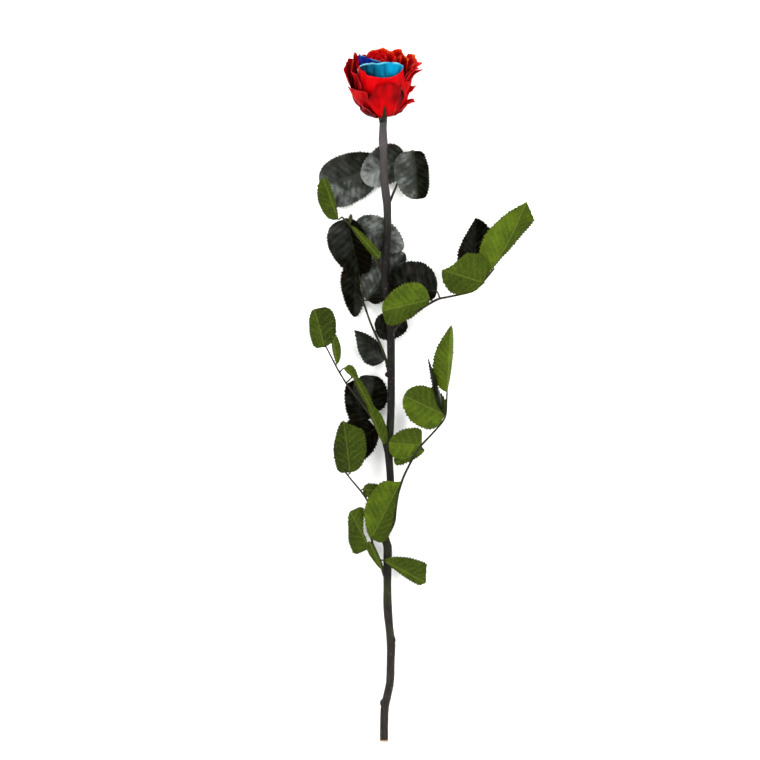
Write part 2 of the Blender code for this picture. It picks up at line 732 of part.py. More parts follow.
def stalk(leaflet, path, group):
    """The short stalk from the nearest point of the rachis to a little way up the rib."""
    base = leaflet_point(leaflet, 1, 0.0, 0.0)
    inside = leaflet_point(leaflet, 1, 0.10, 0.0)
    joint = min(path, key=lambda point: (point - base).length)
    if (joint - base).length < 0.4 * MM:
        joint = joint + (base - inside).normalized() * MM
    points = [joint, base, inside]
    return tube("stalk", points, [STALK_RADIUS, STALK_RADIUS, 0.5 * STALK_RADIUS], group, 1)


def compound_leaf(leaf, group):
    path = [place(*knot) for knot in leaf.rachis]
    count = len(path) - 1
    radii = [RACHIS_RADIUS * (1.2 - 0.45 * index / count) for index in range(count + 1)]
    body = tube(leaf.name, path, radii, group, 1)
    pieces = []
    for leaflet in leaf.leaflets:
        pieces.append(solid_leaflet(leaflet, group))
        pieces.append(stalk(leaflet, path, group))
    for u, v, height, length, thickness in leaf.buds:
        pieces.append(ellipsoid("bud", place(u, v, height), Vector((0, 1, 0)), length * MM,
                                thickness * MM, group))
    body = boolean(body, "UNION", pieces)
    body = boolean(body, "DIFFERENCE", [stem_body("stem_room", GAP, group)])
    keep_main_body(body)
    paint(body, leaf.name + "_tissue", leaf.colour, 0.5)
    return body


def main():
    clear_scene()
    group = new_collection("preserved_rose_stem")
    stem(group)
    calyx(group)
    blue_petal("petal_cyan", CYAN_PETAL, (0.0, 0.30, 0.60), group)
    blue_petal("petal_navy", NAVY_PETAL, (0.0, 0.010, 0.28), group)
    red_petals(group)
    for leaf in LEAVES:
        compound_leaf(leaf, group)


main()
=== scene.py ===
"""The looks of a preserved rose on its cut stem, lying on a pale floor.

Metres, +Z up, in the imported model's frame: the stem runs along Y with the bloom towards +Y.
Places along and across the flower are read from its picture, seen from straight above: u to
the right and v down, in picture units.  Heights, radii and thicknesses are in millimetres.
"""
import math
from typing import NamedTuple

import bpy
from mathutils import Matrix, Vector


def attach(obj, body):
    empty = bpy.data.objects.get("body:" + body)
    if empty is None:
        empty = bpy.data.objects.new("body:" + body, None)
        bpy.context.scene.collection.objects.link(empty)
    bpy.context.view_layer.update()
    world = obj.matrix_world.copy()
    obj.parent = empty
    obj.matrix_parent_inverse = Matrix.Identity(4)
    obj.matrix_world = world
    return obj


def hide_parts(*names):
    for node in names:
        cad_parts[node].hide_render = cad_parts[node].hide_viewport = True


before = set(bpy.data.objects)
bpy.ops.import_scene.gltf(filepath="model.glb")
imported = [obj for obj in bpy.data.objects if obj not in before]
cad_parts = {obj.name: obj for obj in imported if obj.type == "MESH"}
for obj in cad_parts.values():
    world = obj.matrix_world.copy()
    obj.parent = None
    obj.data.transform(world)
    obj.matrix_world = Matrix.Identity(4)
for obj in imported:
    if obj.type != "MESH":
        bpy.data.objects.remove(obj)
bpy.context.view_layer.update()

MM = 0.001

# Driving dimensions, as in the construction
FLOWER_LENGTH = 548 * MM
STEM_RADIUS = 2.8
BLOOM_TILT = math.radians(24)
BLOOM_LEAN = math.radians(3)
RACHIS_RADIUS = 0.9
STALK_RADIUS = 0.7
BLADE_THICKNESS = 0.42
PETAL_THICKNESS = 0.34
SEPAL_THICKNESS = 0.7

# The picture's units
PICTURE_LENGTH = 693.5
PICTURE_CENTRE = (422.3, 395.3)
UNIT = FLOWER_LENGTH / PICTURE_LENGTH
PICTURE_SIDE = 760
VIEW_CENTRE = (380, 380)

# Leaf margins: teeth so far apart and so deep in mm, how far they lean forward, their middle
# level, and by how much of a tooth the left ones are ahead.  The outline wanders by a share
# of the width, and near its ends a blade is no slimmer than a share of a plain lens.
TOOTH_PITCH = 2.4
TOOTH_DEPTH = 1.5
TOOTH_LEAN = 1.6
TOOTH_MIDDLE = 0.38
TOOTH_LEAD = 0.4
OUTLINE_WANDER = 0.1
SLIMMEST = 0.15
SHORTEST_CUT = 0.001
FEWEST_TEETH = 6

# The blade's grid, and how far its ripples rise in mm
ROWS_PER_TOOTH = 5
BLADE_COLUMNS = 37
RIPPLE = 0.8

# Side veins: so far apart in mm, how far they run forward to the margin as a share of the
# length, how they curve back, and how they are out of step and fainter than the midrib
VEIN_PITCH = 5.0
FEWEST_VEINS = 4
VEIN_SWEEP = 0.26
VEIN_CURL = 0.05
VEIN_LEAD = 0.45
SIDE_VEIN = 0.8

# Veins, and the fine net between them, in metres; the net's cells are in mm and drawn three
# times as coarse as a real leaf's, so that they show.  The upper face has them sunk.
RIB_HALF_WIDTH = 0.9 * MM
RIB_HEIGHT = 0.4 * MM
VEIN_HALF_WIDTH = 0.4 * MM
VEIN_HEIGHT = 0.18 * MM
QUILT_HEIGHT = 0.22 * MM
SUNK = -0.8
NET_CELL = 1.5

# Leaf stalks: how far one reaches into its blade as a share of its length, how much of the arch
# it meets there, how it thins, and how near in mm it may start to its blade.  The rachis is
# stoutest at its foot, where it leaves the stem, and has ridges so high in mm.
STALK_REACH = 0.10
STALK_ARCH = 0.36
STALK_TAPER = 0.5
STALK_LEAST = 0.4
RACHIS_START = 1.15
RACHIS_TAPER = 0.4
RACHIS_FOOT = 0.6
RACHIS_FOOT_FADE = 7
RACHIS_RIDGE = 0.05

# Petal cut: the profile leaves the seat at this radius and height in mm, bends round a belly
# and then a shoulder, which stand so high as shares of the height, and the shoulder so much
# farther out as a share of the radius
PETAL_COLUMNS = 33
PETAL_ROWS = 29
FOOT_RADIUS = 2.5
FOOT_HEIGHT = 0.8
BELLY_LEVEL = 0.02
SHOULDER_LEVEL = 0.48
SHOULDER = 0.32

# The rim flares from here up, and sinks as it does; its lip rolls from here up, by so many
# radians.  A ragged rim, rounded corners, folds and dents follow; folds and dents also paint
# shade into the colour: darker in their hollows, lighter on their bulges.
FLARE_FROM = 0.72
FLARE_SINK = 0.35
LIP_FROM = 0.88
LIP_TURN = 2.4
LIP_SETBACK = 0.6
LIP_DROP = 1.2
RAGGED_RIM = 0.045
CORNER_ROUNDING = 2.6
FOLD_DEPTH = 0.2
FOLD_SHADE = 0.12
PETAL_DENT = 2.8
DENT_SHADE = 0.9

# The calyx stands off the petals by so many mm, and slides down as it does
SEPAL_GAP = 0.8
SINK_PER_GAP = 1.25
SEPAL_HEIGHT = 38.0
SEPAL_START = 0.02
SEPAL_GRID = (9, 25)

# Bark: how high (in mm), wide and long its ridges are, and how long its swellings
CANE_RIDGE = 0.09
RIDGE_WIDTH = 0.9 * MM
RIDGE_LENGTH = 12 * MM
BUMP_LENGTH = 6 * MM

# Its pores: how many to a square metre, their size in mm and how it is stretched, and the band
# (a place in the picture and a width in mm) where they crowd, so many times as dense
PORES = 9000.0
PORE_SIZE = 0.35
PORE_SHAPES = ((0.5, 0.7, 0.4), (1.1, 1.7, 0.7))
PORE_BAND = 141
PORE_BAND_WIDTH = 5
PORE_CROWD = 14.0

# Its colours: from where to where down the picture it turns grey near the bloom, a painted
# sheen, and paler at the foot, where it is green and how far in mm to each side, and where it
# ends in a cut, with an edge so soft in mm
GREY_TOP = (230, 150)
PALE_FOOT = (585, 625)
GREEN_STRETCH = 592
GREEN_REACH = 14
CUT_END = 741.2
CUT_EDGE = 0.2

# Buds and stubs are drawn out this way
BUD_DIRECTION = (0.15, 1, 0.1)

# Seeds of all that is uneven.  The red petals' are their places in the list.
SEEDS_PER_LEAF = 10
SEPAL_SEED = 40
CYAN_SEED = 60
NAVY_SEED = 61
BARK_SEED = 1.0
PORE_SEED = 5

# Sides of the round pieces, and how finely a path is smoothed
CANE_SIDES = 40
RACHIS_SIDES = 14
STALK_SIDES = 10
TURNED_SIDES = 32
CANE_STEPS = 10
LEAF_STEPS = 4
RECEPTACLE_STEPS = 3

# Each blade and petal carries its own stretch of the patterns, shifted by so many metres
PATTERN_SHIFT = 0.13
# Points this close are one, in metres
BLADE_WELD = 0.0005 * MM
PETAL_WELD = 0.01 * MM
TURNED_WELD = 0.01 * MM

SHARP_ANGLE = math.radians(50)
FLOOR_CLEARANCE = 0.3 * MM
FLOOR_SIDE = 9.0

# The camera hangs so high, and at this height in mm over the floor its frame is the picture's
CAMERA_HEIGHT = 10.0
FOCUS_HEIGHT = 20.0
SENSOR = 36.0

# Soft boxes: name, place, side and power.  A ring of light hangs round the lens, between
# these heights of its direction (the sine of the angle above the horizon).
SOFT_BOXES = (
    ("left_softbox", (-1.3, 0.5, 1.8), 0.9, 22),
    ("right_softbox", (1.4, -0.3, 1.8), 0.9, 16),
    ("head_softbox", (0.2, 1.5, 1.7), 0.9, 10),
)
RING_OUTER = (0.60, 0.68)
RING_INNER = (0.87, 0.94)
RING_LIGHT = 2.95
WALL_LIGHT = 1.2
CEILING_LIGHT = 0.2


class Leaflet(NamedTuple):
    """One toothed blade.  base and tip are (u, v, height in mm); left and right are the width
    in picture units and how far along it is widest, seen looking from base to tip.  point is
    the outline's sharpness, and right_point, where it isn't 0, that of the right half; cut is
    the share of its length over which each half runs straight in to the tip.  lift raises the
    two margins and arch the middle, in mm, and bow bends the midrib to the left in picture
    units.  face names the side that is turned up, and tone is its brightness, partly the
    blade's own colour and partly painted light (on the upper face a painted silvery sheen).
    halves and along are painted light: how much brighter the left half is than the right, and
    the tip than the base."""

    base: tuple
    tip: tuple
    left: tuple
    right: tuple
    point: float = 1.2
    lift: tuple = (0.0, 0.0)
    arch: float = 1.5
    bow: float = 0.0
    toothed: bool = True
    face: str = "under"
    tone: float = 0.5
    halves: float = 0.0
    along: float = 0.0
    right_point: float = 0.0
    cut: tuple = (0.0, 0.0)


class CompoundLeaf(NamedTuple):
    """A leaf of several leaflets on one rachis, which starts inside the stem.  Its buds have a
    place, a length and a thickness in mm."""

    node: str
    slot: str
    rachis: tuple
    leaflets: tuple
    buds: tuple = ()


class Petal(NamedTuple):
    """One petal: where it stands round the axis (degrees from the side that faces up, to the
    right), half its spread, and its radius and height in mm.  rim and belly are the radius at
    the rim and low down as shares of it, flare is how far the rim turns out in mm, drop how
    much lower its corners are, slope how much its right corner rises, spiral how far its right
    edge stands in front of its left, start where the grid begins up the profile, and waist
    what is left of the spread there.  wave and roll are the rim's unevenness and rolled lip in
    mm.  gold says how much of the rim is gilded, and pale how much of it is pale, partly thin
    dye and partly a painted highlight.  shade is how much darker the whole petal is painted,
    partly its dye and partly painted shade, depth how fast painted shade deepens below its rim
    (lighter there where it is negative), and lean how much more painted shade its right edge
    takes than its left."""

    angle: float
    spread: float
    radius: float
    height: float
    rim: float = 0.95
    flare: float = 2.0
    drop: float = 0.35
    spiral: float = 1.0
    start: float = 0.12
    belly: float = 0.84
    wave: float = 0.6
    roll: float = 0.6
    slope: float = 0.0
    gold: float = 0.0
    shade: float = 0.0
    depth: float = 0.5
    waist: float = 1.0
    lean: float = 0.0
    pale: float = 0.15


# The stem: u, v, height in mm, thickness as a share of the stem's own
STEM_ROUTE = (
    (383.4, 119.6, 14.0, 1.06),
    (383.0, 128, 14.2, 1.08),
    (383.0, 136, 14.4, 1.21),
    (383.2, 144, 14.5, 1.25),
    (383.4, 152, 14.6, 1.04),
    (384.3, 180, 14.9, 1.08),
    (386.2, 196, 15.0, 1.21),
    (387.4, 210, 15.1, 1.13),
    (387.2, 240, 15.2, 1.1),
    (385.4, 264, 15.2, 1.12),
    (385.2, 285, 15.1, 1.08),
    (388.0, 306, 15.0, 1.08),
    (390.6, 330, 15.0, 1.14),
    (391.0, 350, 14.8, 1.13),
    (391.2, 395, 14.2, 1.06),
    (390.3, 425, 13.8, 1.1),
    (388.6, 448, 13.4, 1.17),
    (389.6, 466, 13.0, 1.06),
    (390.6, 486, 12.5, 1.08),
    (389.6, 512, 11.8, 1.08),
    (385.0, 534, 11.1, 1.07),
    (387.6, 548, 10.6, 1.23),
    (387.5, 562, 10.1, 1.21),
    (387.3, 585, 9.3, 1.15),
    (387.8, 610, 8.3, 1.24),
    (389.6, 630, 7.5, 1.13),
    (391.0, 643, 7.0, 1.24),
    (390.8, 658, 6.4, 1.16),
    (390.0, 682, 5.6, 1.14),
    (386.8, 698, 5.0, 1.16),
    (384.8, 708, 4.6, 1.16),
    (384.1, 725, 3.9, 1.14),
    (384.0, 742, 3.3, 1.16),
)

# Buds, scars and stubs that stand out of the stem: u, v, height, length and half thickness
STEM_KNOBS = (
    (387.2, 374.5, 14.6, 4.2, 2.0),
    (387.2, 366, 14.4, 3.0, 1.4),
    (393.2, 641, 7.4, 7.0, 2.0),
    (382.4, 703, 4.8, 6.0, 2.0),
    (389.6, 549, 10.8, 8.0, 1.8),
    (382.0, 140, 15.6, 6.0, 1.8),
)

# The bloom stands on its receptacle here
BLOOM_SEAT = (382.6, 114.5, 16.4)

# shade, depth and lean paint light and shade into the colour: the left and inner petals darker,
# the front petal darker at its top and right and lighter at its foot, some right-hand petals
# lighter
RED_PETALS = (
    # the inner turn, which the two blue petals complete
    Petal(76, 40, 12.2, 50.0, 0.88, 0.8, 0.3, 1.0, 0.25, wave=0.9, depth=0.8),
    Petal(134, 50, 12.8, 50.5, 0.90, 1.0, 0.3, 1.0, 0.25, wave=0.9, gold=0.25, depth=0.8),
    Petal(-158, 48, 12.4, 50.0, 0.90, 1.0, 0.3, 1.0, 0.25, wave=0.9, depth=0.8),
    Petal(100, 40, 15.6, 49.0, 0.92, 2.0, 0.25, 1.0, 0.25, wave=1.4, gold=0.3, depth=0.8),
    Petal(170, 44, 15.8, 49.6, 0.92, 1.4, 0.25, 1.0, 0.25, wave=1.1, gold=0.3, depth=0.8),
    Petal(-125, 40, 16.0, 48.6, 0.92, 1.2, 0.25, 1.0, 0.25, wave=0.9, shade=0.2, depth=0.9),
    # the middle turn
    Petal(-1, 60, 20.4, 41.2, 0.97, 0.8, -0.07, 0.9, wave=0.5, roll=0.4, slope=-0.03,
          shade=-0.25, depth=0.85),
    Petal(-80, 38, 21.2, 42.0, 1.02, 0.8, 0.10, 1.0, 0.12, 0.70, roll=0.3, shade=0.3,
          depth=0.8),
    Petal(-122, 36, 20.8, 47.5, 0.98, 1.2, 0.25, 1.0, wave=0.9, roll=0.3, shade=0.3, depth=0.8),
    Petal(-110, 19, 19.6, 51.8, 0.98, 0.6, 0.4, 1.0, wave=1.0, roll=0.2, gold=0.35, shade=0.2,
          depth=0.8),
    Petal(177, 44, 19.6, 48.4, 0.98, 1.6, 0.16, 1.0, wave=1.3, roll=0.4, gold=0.6),
    Petal(126, 44, 20.6, 48.2, 0.98, 2.0, 0.06, 1.0, wave=1.5, roll=0.4, gold=0.8),
    Petal(86, 34, 20.8, 43.5, 0.98, 6.4, 0.20, 1.0, wave=1.8, roll=0.4, gold=0.15, shade=0.1),
    # the outer turn
    Petal(12, 39, 24.5, 36.2, 0.96, 0.3, 0.28, -0.9, wave=0.3, roll=0.0, shade=0.62, depth=-0.5,
          waist=0.45, lean=0.7, pale=0.0),
    Petal(-63, 36, 25.4, 29.4, 1.00, 1.0, 0.06, -1.2, 0.12, 0.58, wave=0.8, roll=0.2, slope=0.06,
          shade=0.25, depth=0.3, lean=-0.4, pale=0.15),
    Petal(-36, 21, 22.7, 13.6, 0.96, 0.0, 0.04, 0.8, 0.12, 0.60, wave=0.4, roll=0.2,
          slope=-0.26, shade=0.8, depth=0.1, waist=0.8, pale=0.9),
    Petal(-108, 36, 26.0, 44.2, 1.01, 0.6, 0.12, 1.0, 0.12, 0.64, wave=1.0, roll=0.3,
          shade=0.3, depth=0.7),
    Petal(-174, 40, 26.8, 41.0, 1.0, 2.5, 0.3, 1.0),
    Petal(114, 30, 24.0, 46.8, 1.0, 6.4, 0.24, 1.0, wave=1.9, roll=0.4, gold=0.4),
    Petal(90, 30, 21.6, 46.2, 1.0, 10.0, 0.2, 1.0, wave=2.2, roll=0.2, gold=0.1),
    Petal(74, 18, 20.8, 44.8, 1.0, 9.2, 0.3, 1.0, wave=2.2, roll=0.2, shade=0.1),
    Petal(79, 14, 21.6, 43.0, 1.0, 11.4, 0.3, 1.0, wave=2.4, roll=0.2, shade=0.15),
    Petal(84, 9, 21.6, 41.2, 1.0, 10.2, 0.5, 1.0, wave=1.5, roll=0.2, shade=0.1),
    Petal(88, 26, 19.0, 24.6, 1.0, 7.4, 0.22, 1.0, wave=2.2, roll=0.3, shade=-0.2),
    Petal(74, 24, 19.0, 15.6, 1.0, 7.6, 0.4, 1.0, wave=1.6, roll=0.2),
    Petal(60, 28, 21.9, 31.5, 1.0, 1.0, 0.24, 1.0, 0.12, 0.75, wave=1.6, roll=0.2, shade=-0.25,
          depth=0.3),
    Petal(72, 24, 17.8, 13.0, 1.0, 3.0, 0.22, 1.0, wave=1.0, shade=0.4),
)

# The heart's petals are wound tightly.  Each is turned on from the last by the golden angle,
# and narrower, farther out and taller than it.
HEART_PETALS = 11
FIRST_HEART_PETAL = Petal(0.0, 105, 1.6, 48.0, 0.80, 0.3, 0.22, 0.9, 0.35, wave=0.4, roll=0.3,
                          depth=0.9)
HEART_STEP = {"angle": 137.5, "spread": -3.4, "radius": 0.72, "height": 0.2}

# The cyan petal is painted darker to its left and towards its foot, where shade falls.
CYAN_PETAL = Petal(3, 76, 17.8, 52.2, 0.98, 0.3, 0.13, 0.0, 0.28, wave=0.4, roll=0.35,
                   slope=-0.012, shade=0.35, depth=0.6, lean=-2.4, pale=0.8)
NAVY_PETAL = Petal(-42, 58, 13.4, 54.0, 0.99, 0.4, 0.05, -2.2, 0.32, wave=0.4, roll=0.3,
                   slope=-0.02, depth=0.5, pale=0.7)

# The sepals: angle, how far they rise along the petals, and the radius they hug in mm
SEPALS = (
    (4, 0.64, 24.7),
    (76, 0.44, 22.6),
    (148, 0.46, 25.8),
    (-142, 0.42, 26.6),
    (-72, 0.42, 21.8),
)
SEPAL_HALF_WIDTH = 3.1

# Height along the bloom's axis and radius in mm, from the top down
RECEPTACLE = ((0.4, 2.9), (-0.6, 3.5), (-2.4, 3.5), (-4.6, 3.2), (-6.6, 2.9))
BLOOM_CORE = ((34.0, 0.0), (31.0, 4.5), (25.0, 7.5), (16.0, 9.8), (8.0, 10.2), (3.2, 9.4),
              (1.2, 7.4), (0.7, 0.0))

LEAVES = (
    CompoundLeaf(
        "leaf_top", "dark_leaf",
        ((387, 207, 15.0), (390.6, 200, 14.2), (393.4, 193, 12.4), (396.6, 185.5, 10.4),
         (400, 176, 9.2), (405, 160, 8.0), (409, 152, 7.6)),
        (
            Leaflet((413.5, 150.5, 8.4), (417.5, 199.2, 9.5), (14.0, 0.50), (21.2, 0.40), 0.5,
                    (1, 3), 3.5, face="upper", tone=0.45, halves=-0.5, right_point=0.75),
            Leaflet((406, 156, 7.2), (361.5, 178, 5.0), (18.2, 0.52), (20.8, 0.38), 0.9,
                    (1, 0.5), 3, face="upper", tone=0.75, halves=0.1, along=0.6),
            Leaflet((387, 163, 2.6), (321, 187.5, 0.5), (26.6, 0.70), (24.4, 0.60), 0.95,
                    (0.3, 0.5), 1.5, face="upper", tone=0.55, halves=0.2, along=0.6),
        ),
    ),
    CompoundLeaf(
        "leaf_upper_left", "dark_leaf",
        ((385.5, 277, 15.2), (381, 270, 15.2), (377, 262, 15.6), (373, 254, 16.6),
         (366, 246, 18.0), (358, 237, 19.5), (352, 228, 20.5), (348, 223, 21.5),
         (342, 217, 22.5)),
        (
            Leaflet((338.0, 219.4, 23.0), (323.2, 178.6, 30.0), (12.8, 0.46), (4.6, 0.76), 1.0,
                    (-4, -3), -3, tone=0.35, halves=-0.2),
            Leaflet((352, 226, 21.5), (379.5, 258, 19.0), (4.8, 0.70), (4.0, 0.70), 1.0, (0, -3),
                    tone=0.35),
            Leaflet((346.5, 218.5, 19.0), (359.5, 275, 9.0), (17, 0.60), (24.5, 0.36), 0.75,
                    (1, -3), 4, face="upper", tone=0.12, halves=-0.4, along=-0.3,
                    right_point=1.0),
            Leaflet((355, 223, 13.4), (404, 248, 5.0), (17.6, 0.42), (15, 0.5), 1.1, (1, 1),
                    2.5, face="upper", tone=0.74, halves=0.1),
        ),
        ((350.4, 219, 22.0, 8.0, 3.2),),
    ),
    CompoundLeaf(
        "leaf_right", "olive_leaf",
        ((390.6, 336, 15.0), (396, 327.5, 17.0), (402, 320.5, 18.8), (409, 315, 20.2),
         (421, 308.6, 22.2), (437, 299.6, 24.0), (447, 297.2, 25.0), (460, 294.6, 26.0),
         (470, 292.2, 26.6), (476, 289.2, 27.0), (482.4, 282.6, 27.4), (488.4, 275.6, 28.0),
         (494, 268.6, 29.0)),
        (
            Leaflet((430, 299.5, 25.0), (382, 311, 25.0), (17, 0.80), (21.5, 0.36), 0.9,
                    (-3, -3), -2, tone=0.45, halves=-0.3),
            Leaflet((437, 291.5, 21.0), (391, 284, 9.6), (12.6, 0.4), (27.0, 0.54), 0.85,
                    (1, -1), 3, face="upper", tone=0.15, halves=-0.2),
            Leaflet((484, 283, 30.0), (442, 270, 35.0), (19.4, 0.56), (26, 0.32), 1.5,
                    (-2, -2), -1, tone=0.32, halves=-0.25, right_point=0.7, cut=(0.0, 0.42)),
            Leaflet((475, 286, 24.0), (475.4, 217.6, 0.4), (18.4, 0.36), (19.4, 0.56), 1.8, (3, 3),
                    5, face="upper", tone=0.1, halves=0.15, right_point=1.4),
            Leaflet((485, 279, 26.5), (526.6, 202, 38.0), (20.8, 0.42), (15.4, 0.88), 1.8,
                    (-3, -7), -3, -3, tone=0.55, halves=0.2, right_point=1.6, cut=(0.0, 0.14)),
        ),
    ),
    CompoundLeaf(
        "leaf_middle_left", "dark_leaf",
        ((390.4, 381, 14.4), (388.4, 372, 14.0), (386.2, 361, 13.2), (382.6, 350, 12.6),
         (376.8, 337, 12.0), (370.2, 322, 11.5), (364.8, 306, 11.0), (363, 300, 10.5),
         (363, 290, 9.0), (360, 278, 7.6), (357, 268, 6.8)),
        (
            Leaflet((385, 360, 12.6), (354, 330, 18.5), (16, 0.30), (8.2, 0.46), 1.7,
                    (-4, -2), -2, face="upper", tone=0.4, halves=0.2, right_point=1.8),
            Leaflet((375.8, 331, 9.6), (407, 321.5, 6.0), (16.2, 0.50), (13.2, 0.46), 0.7,
                    (1, -1), 1.5, face="upper", tone=0.2),
            Leaflet((356, 264, 5.4), (354, 317, 4.0), (10, 0.55), (15, 0.32), 1.15, (1.5, 1),
                    1, face="upper", tone=0.2, halves=0.2),
            Leaflet((367, 300, 9.0), (405, 253, 3.2), (22, 0.5), (15, 0.34), 0.95, (-0.5, 1),
                    0.5, face="upper", tone=0.5, halves=0.5),
        ),
    ),
    CompoundLeaf(
        "leaf_lower_left", "olive_leaf",
        ((388.8, 459, 13.2), (386, 452, 13.6), (384, 444, 14.6), (381, 433, 16.0),
         (376, 425, 17.5), (371, 417, 19.0), (366, 409, 20.5), (360, 401, 22.0),
         (352, 391, 24.0), (346, 383, 25.5), (337.6, 369, 28.0), (332.4, 359, 30.0),
         (325.4, 345.5, 33.0)),
        (
            Leaflet((324.5, 347, 33.0), (314.5, 309, 38.0), (11.4, 0.30), (18, 0.64), 0.7,
                    (-4, -4), -3, tone=0.18, halves=0.25),
            Leaflet((337, 364, 28.0), (332, 332, 29.0), (2.5, 0.5), (6.5, 0.5), 1.2, (-3, -1),
                    tone=0.3),
            Leaflet((344, 368, 27.0), (357, 380, 25.0), (7.5, 0.35), (1.5, 0.5), 0.9, (1, -1),
                    tone=0.35),
            Leaflet((354, 376, 25.4), (374, 414, 21.0), (5, 0.45), (3, 0.5), 1.0, (-1, 1),
                    tone=0.3),
            Leaflet((384, 445, 15.5), (366, 402, 23.5), (1.5, 0.5), (9.5, 0.45), 1.1, (0, 2),
                    0, 0, False, tone=0.35),
            Leaflet((371, 418, 14.0), (347, 383.5, 4.0), (19.5, 0.18), (12, 0.66), 0.85, (2, 0),
                    3, face="upper", tone=0.02, halves=0.1),
            Leaflet((369, 411, 14.0), (373.5, 375.5, 5.0), (18.0, 0.62), (17.0, 0.42), 0.84,
                    (1, -3.5), 1.5, face="upper", tone=0.25, halves=0.3),
            Leaflet((376, 428, 13.0), (336, 459, 0.4), (18.4, 0.56), (22.5, 0.38), 0.9, (2, 2),
                    3.5, face="upper", tone=0.05),
        ),
    ),
    CompoundLeaf(
        "leaf_low_right", "olive_leaf",
        ((388.4, 533, 11.2), (391.8, 527, 11.8), (394.4, 520, 13.0), (395.6, 508, 15.0),
         (398, 494, 17.0), (401.4, 483, 18.5), (404.4, 475, 19.5), (408.8, 466, 21.0),
         (413.6, 457, 22.5), (417, 451, 23.5), (421, 445.6, 24.5), (429.6, 436.4, 26.5),
         (439.4, 425.6, 28.5), (444, 419.4, 29.5), (446, 413, 30.5), (446.5, 402, 32.0),
         (447, 392, 34.0)),
        (
            Leaflet((447, 392, 34.0), (451, 325, 46.0), (16.0, 0.38), (4.0, 0.6), 1.6,
                    (-6, -7), -3, tone=0.65, halves=-0.2),
            Leaflet((445.0, 415, 30.0), (403.8, 396, 24.0), (21.4, 0.38), (19.4, 0.50), 0.85,
                    (-3, -3), -2, tone=0.5, halves=0.15),
            Leaflet((444, 414, 30.0), (427.8, 358, 37.0), (4.0, 0.30), (2.0, 0.4), 1.2,
                    (-8, -7), 2, face="upper", tone=0.3),
            Leaflet((421.5, 445.5, 24.5), (389, 443, 23.0), (16, 0.52), (17.6, 0.22), 0.65,
                    (-3, -3), -1.5, tone=0.5, halves=0.2),
            Leaflet((424, 450, 23.0), (394.5, 463, 15.8), (5.0, 0.6), (12, 0.4), 0.8, (0, 0),
                    tone=0.25),
        ),
        ((404.6, 475, 19.6, 2.6, 1.2), (402.4, 480, 18.9, 2.2, 1.2)),
    ),
    CompoundLeaf(
        "leaf_bottom_left", "olive_leaf",
        ((386.4, 580, 9.4), (383.4, 573, 10.0), (380.8, 563, 11.4), (376.2, 552, 13.0),
         (372, 541.5, 14.5), (374, 532, 13.0), (375, 522, 13.0), (372.4, 511, 15.0),
         (367, 500, 19.5), (360.6, 490.8, 23.0), (350.6, 478.8, 26.5), (344.8, 471.4, 28.5)),
        (
            Leaflet((350.4, 472.4, 28.0), (343.6, 420.5, 35.0), (14.2, 0.27), (19.6, 0.58), 0.8,
                    (-4, -4), -3, tone=0.1, halves=-0.15, right_point=0.75, cut=(0.0, 0.21)),
            Leaflet((363, 489, 21.0), (392, 495, 13.0), (7.8, 0.38), (8, 0.35), 1.0, (0, 0),
                    tone=0.15),
            Leaflet((371, 539, 18.0), (401, 481, 27.0), (21.8, 0.58), (14.2, 0.16), 1.3,
                    (-1, -1), -1, tone=0.4, halves=0.35, right_point=1.6, cut=(0.1, 0.0)),
            Leaflet((369.5, 548.5, 15.0), (350, 511.4, 15.5), (16.8, 0.16), (13.4, 0.90), 0.95,
                    (-2, -3), 1, tone=0.3, halves=-0.2, right_point=3.2),
            Leaflet((382, 570, 10.8), (369, 541, 17.5), (5.4, 0.75), (2.8, 0.4), 1.0, (-2, 0),
                    0, 0, False, tone=0.35),
            Leaflet((384, 560.5, 15.6), (426, 583.4, 8.0), (17.8, 0.78), (5.6, 0.80), 0.8,
                    (-2, -3), 2, tone=0.35, halves=-0.2, right_point=0.95, cut=(0.18, 0.1)),
        ),
    ),
)


# Places and small helpers

def place(u, v, height_mm):
    """A point of the picture, at a height above the surface."""
    return Vector(((u - PICTURE_CENTRE[0]) * UNIT, (PICTURE_CENTRE[1] - v) * UNIT, height_mm * MM))


def picture_line(v):
    """How far up the flower a line of the picture lies."""
    return place(0, v, 0).y


def bloom_frame():
    """Where the bloom is seated, and its axis, right and upward-facing directions."""
    axis = Vector((-math.sin(BLOOM_LEAN), math.cos(BLOOM_TILT), math.sin(BLOOM_TILT))).normalized()
    right = axis.cross(Vector((0, 0, 1))).normalized()
    return place(*BLOOM_SEAT), axis, right, right.cross(axis)


def smooth_path(knots, steps):
    """More points along a Catmull-Rom curve through the given lists of numbers."""
    ends = [[2 * a - b for a, b in zip(knots[0], knots[1])]]
    ends += [list(knot) for knot in knots]
    ends += [[2 * a - b for a, b in zip(knots[-1], knots[-2])]]
    path = []
    for a, b, c, d in zip(ends, ends[1:], ends[2:], ends[3:]):
        for step in range(steps):
            t = step / steps
            path.append([
                0.5 * (2 * q + (r - p) * t + (2 * p - 5 * q + 4 * r - s) * t**2
                       + (3 * q - p - 3 * r + s) * t**3)
                for p, q, r, s in zip(a, b, c, d)
            ])
    return path + [list(knots[-1])]


def colour(code):
    """An sRGB hex value as linear red, green, blue and alpha."""
    parts = [int(code[index:index + 2], 16) / 255 for index in (1, 3, 5)]
    return (*[c / 12.92 if c <= 0.04045 else ((c + 0.055) / 1.055) ** 2.4 for c in parts], 1.0)


# Node trees

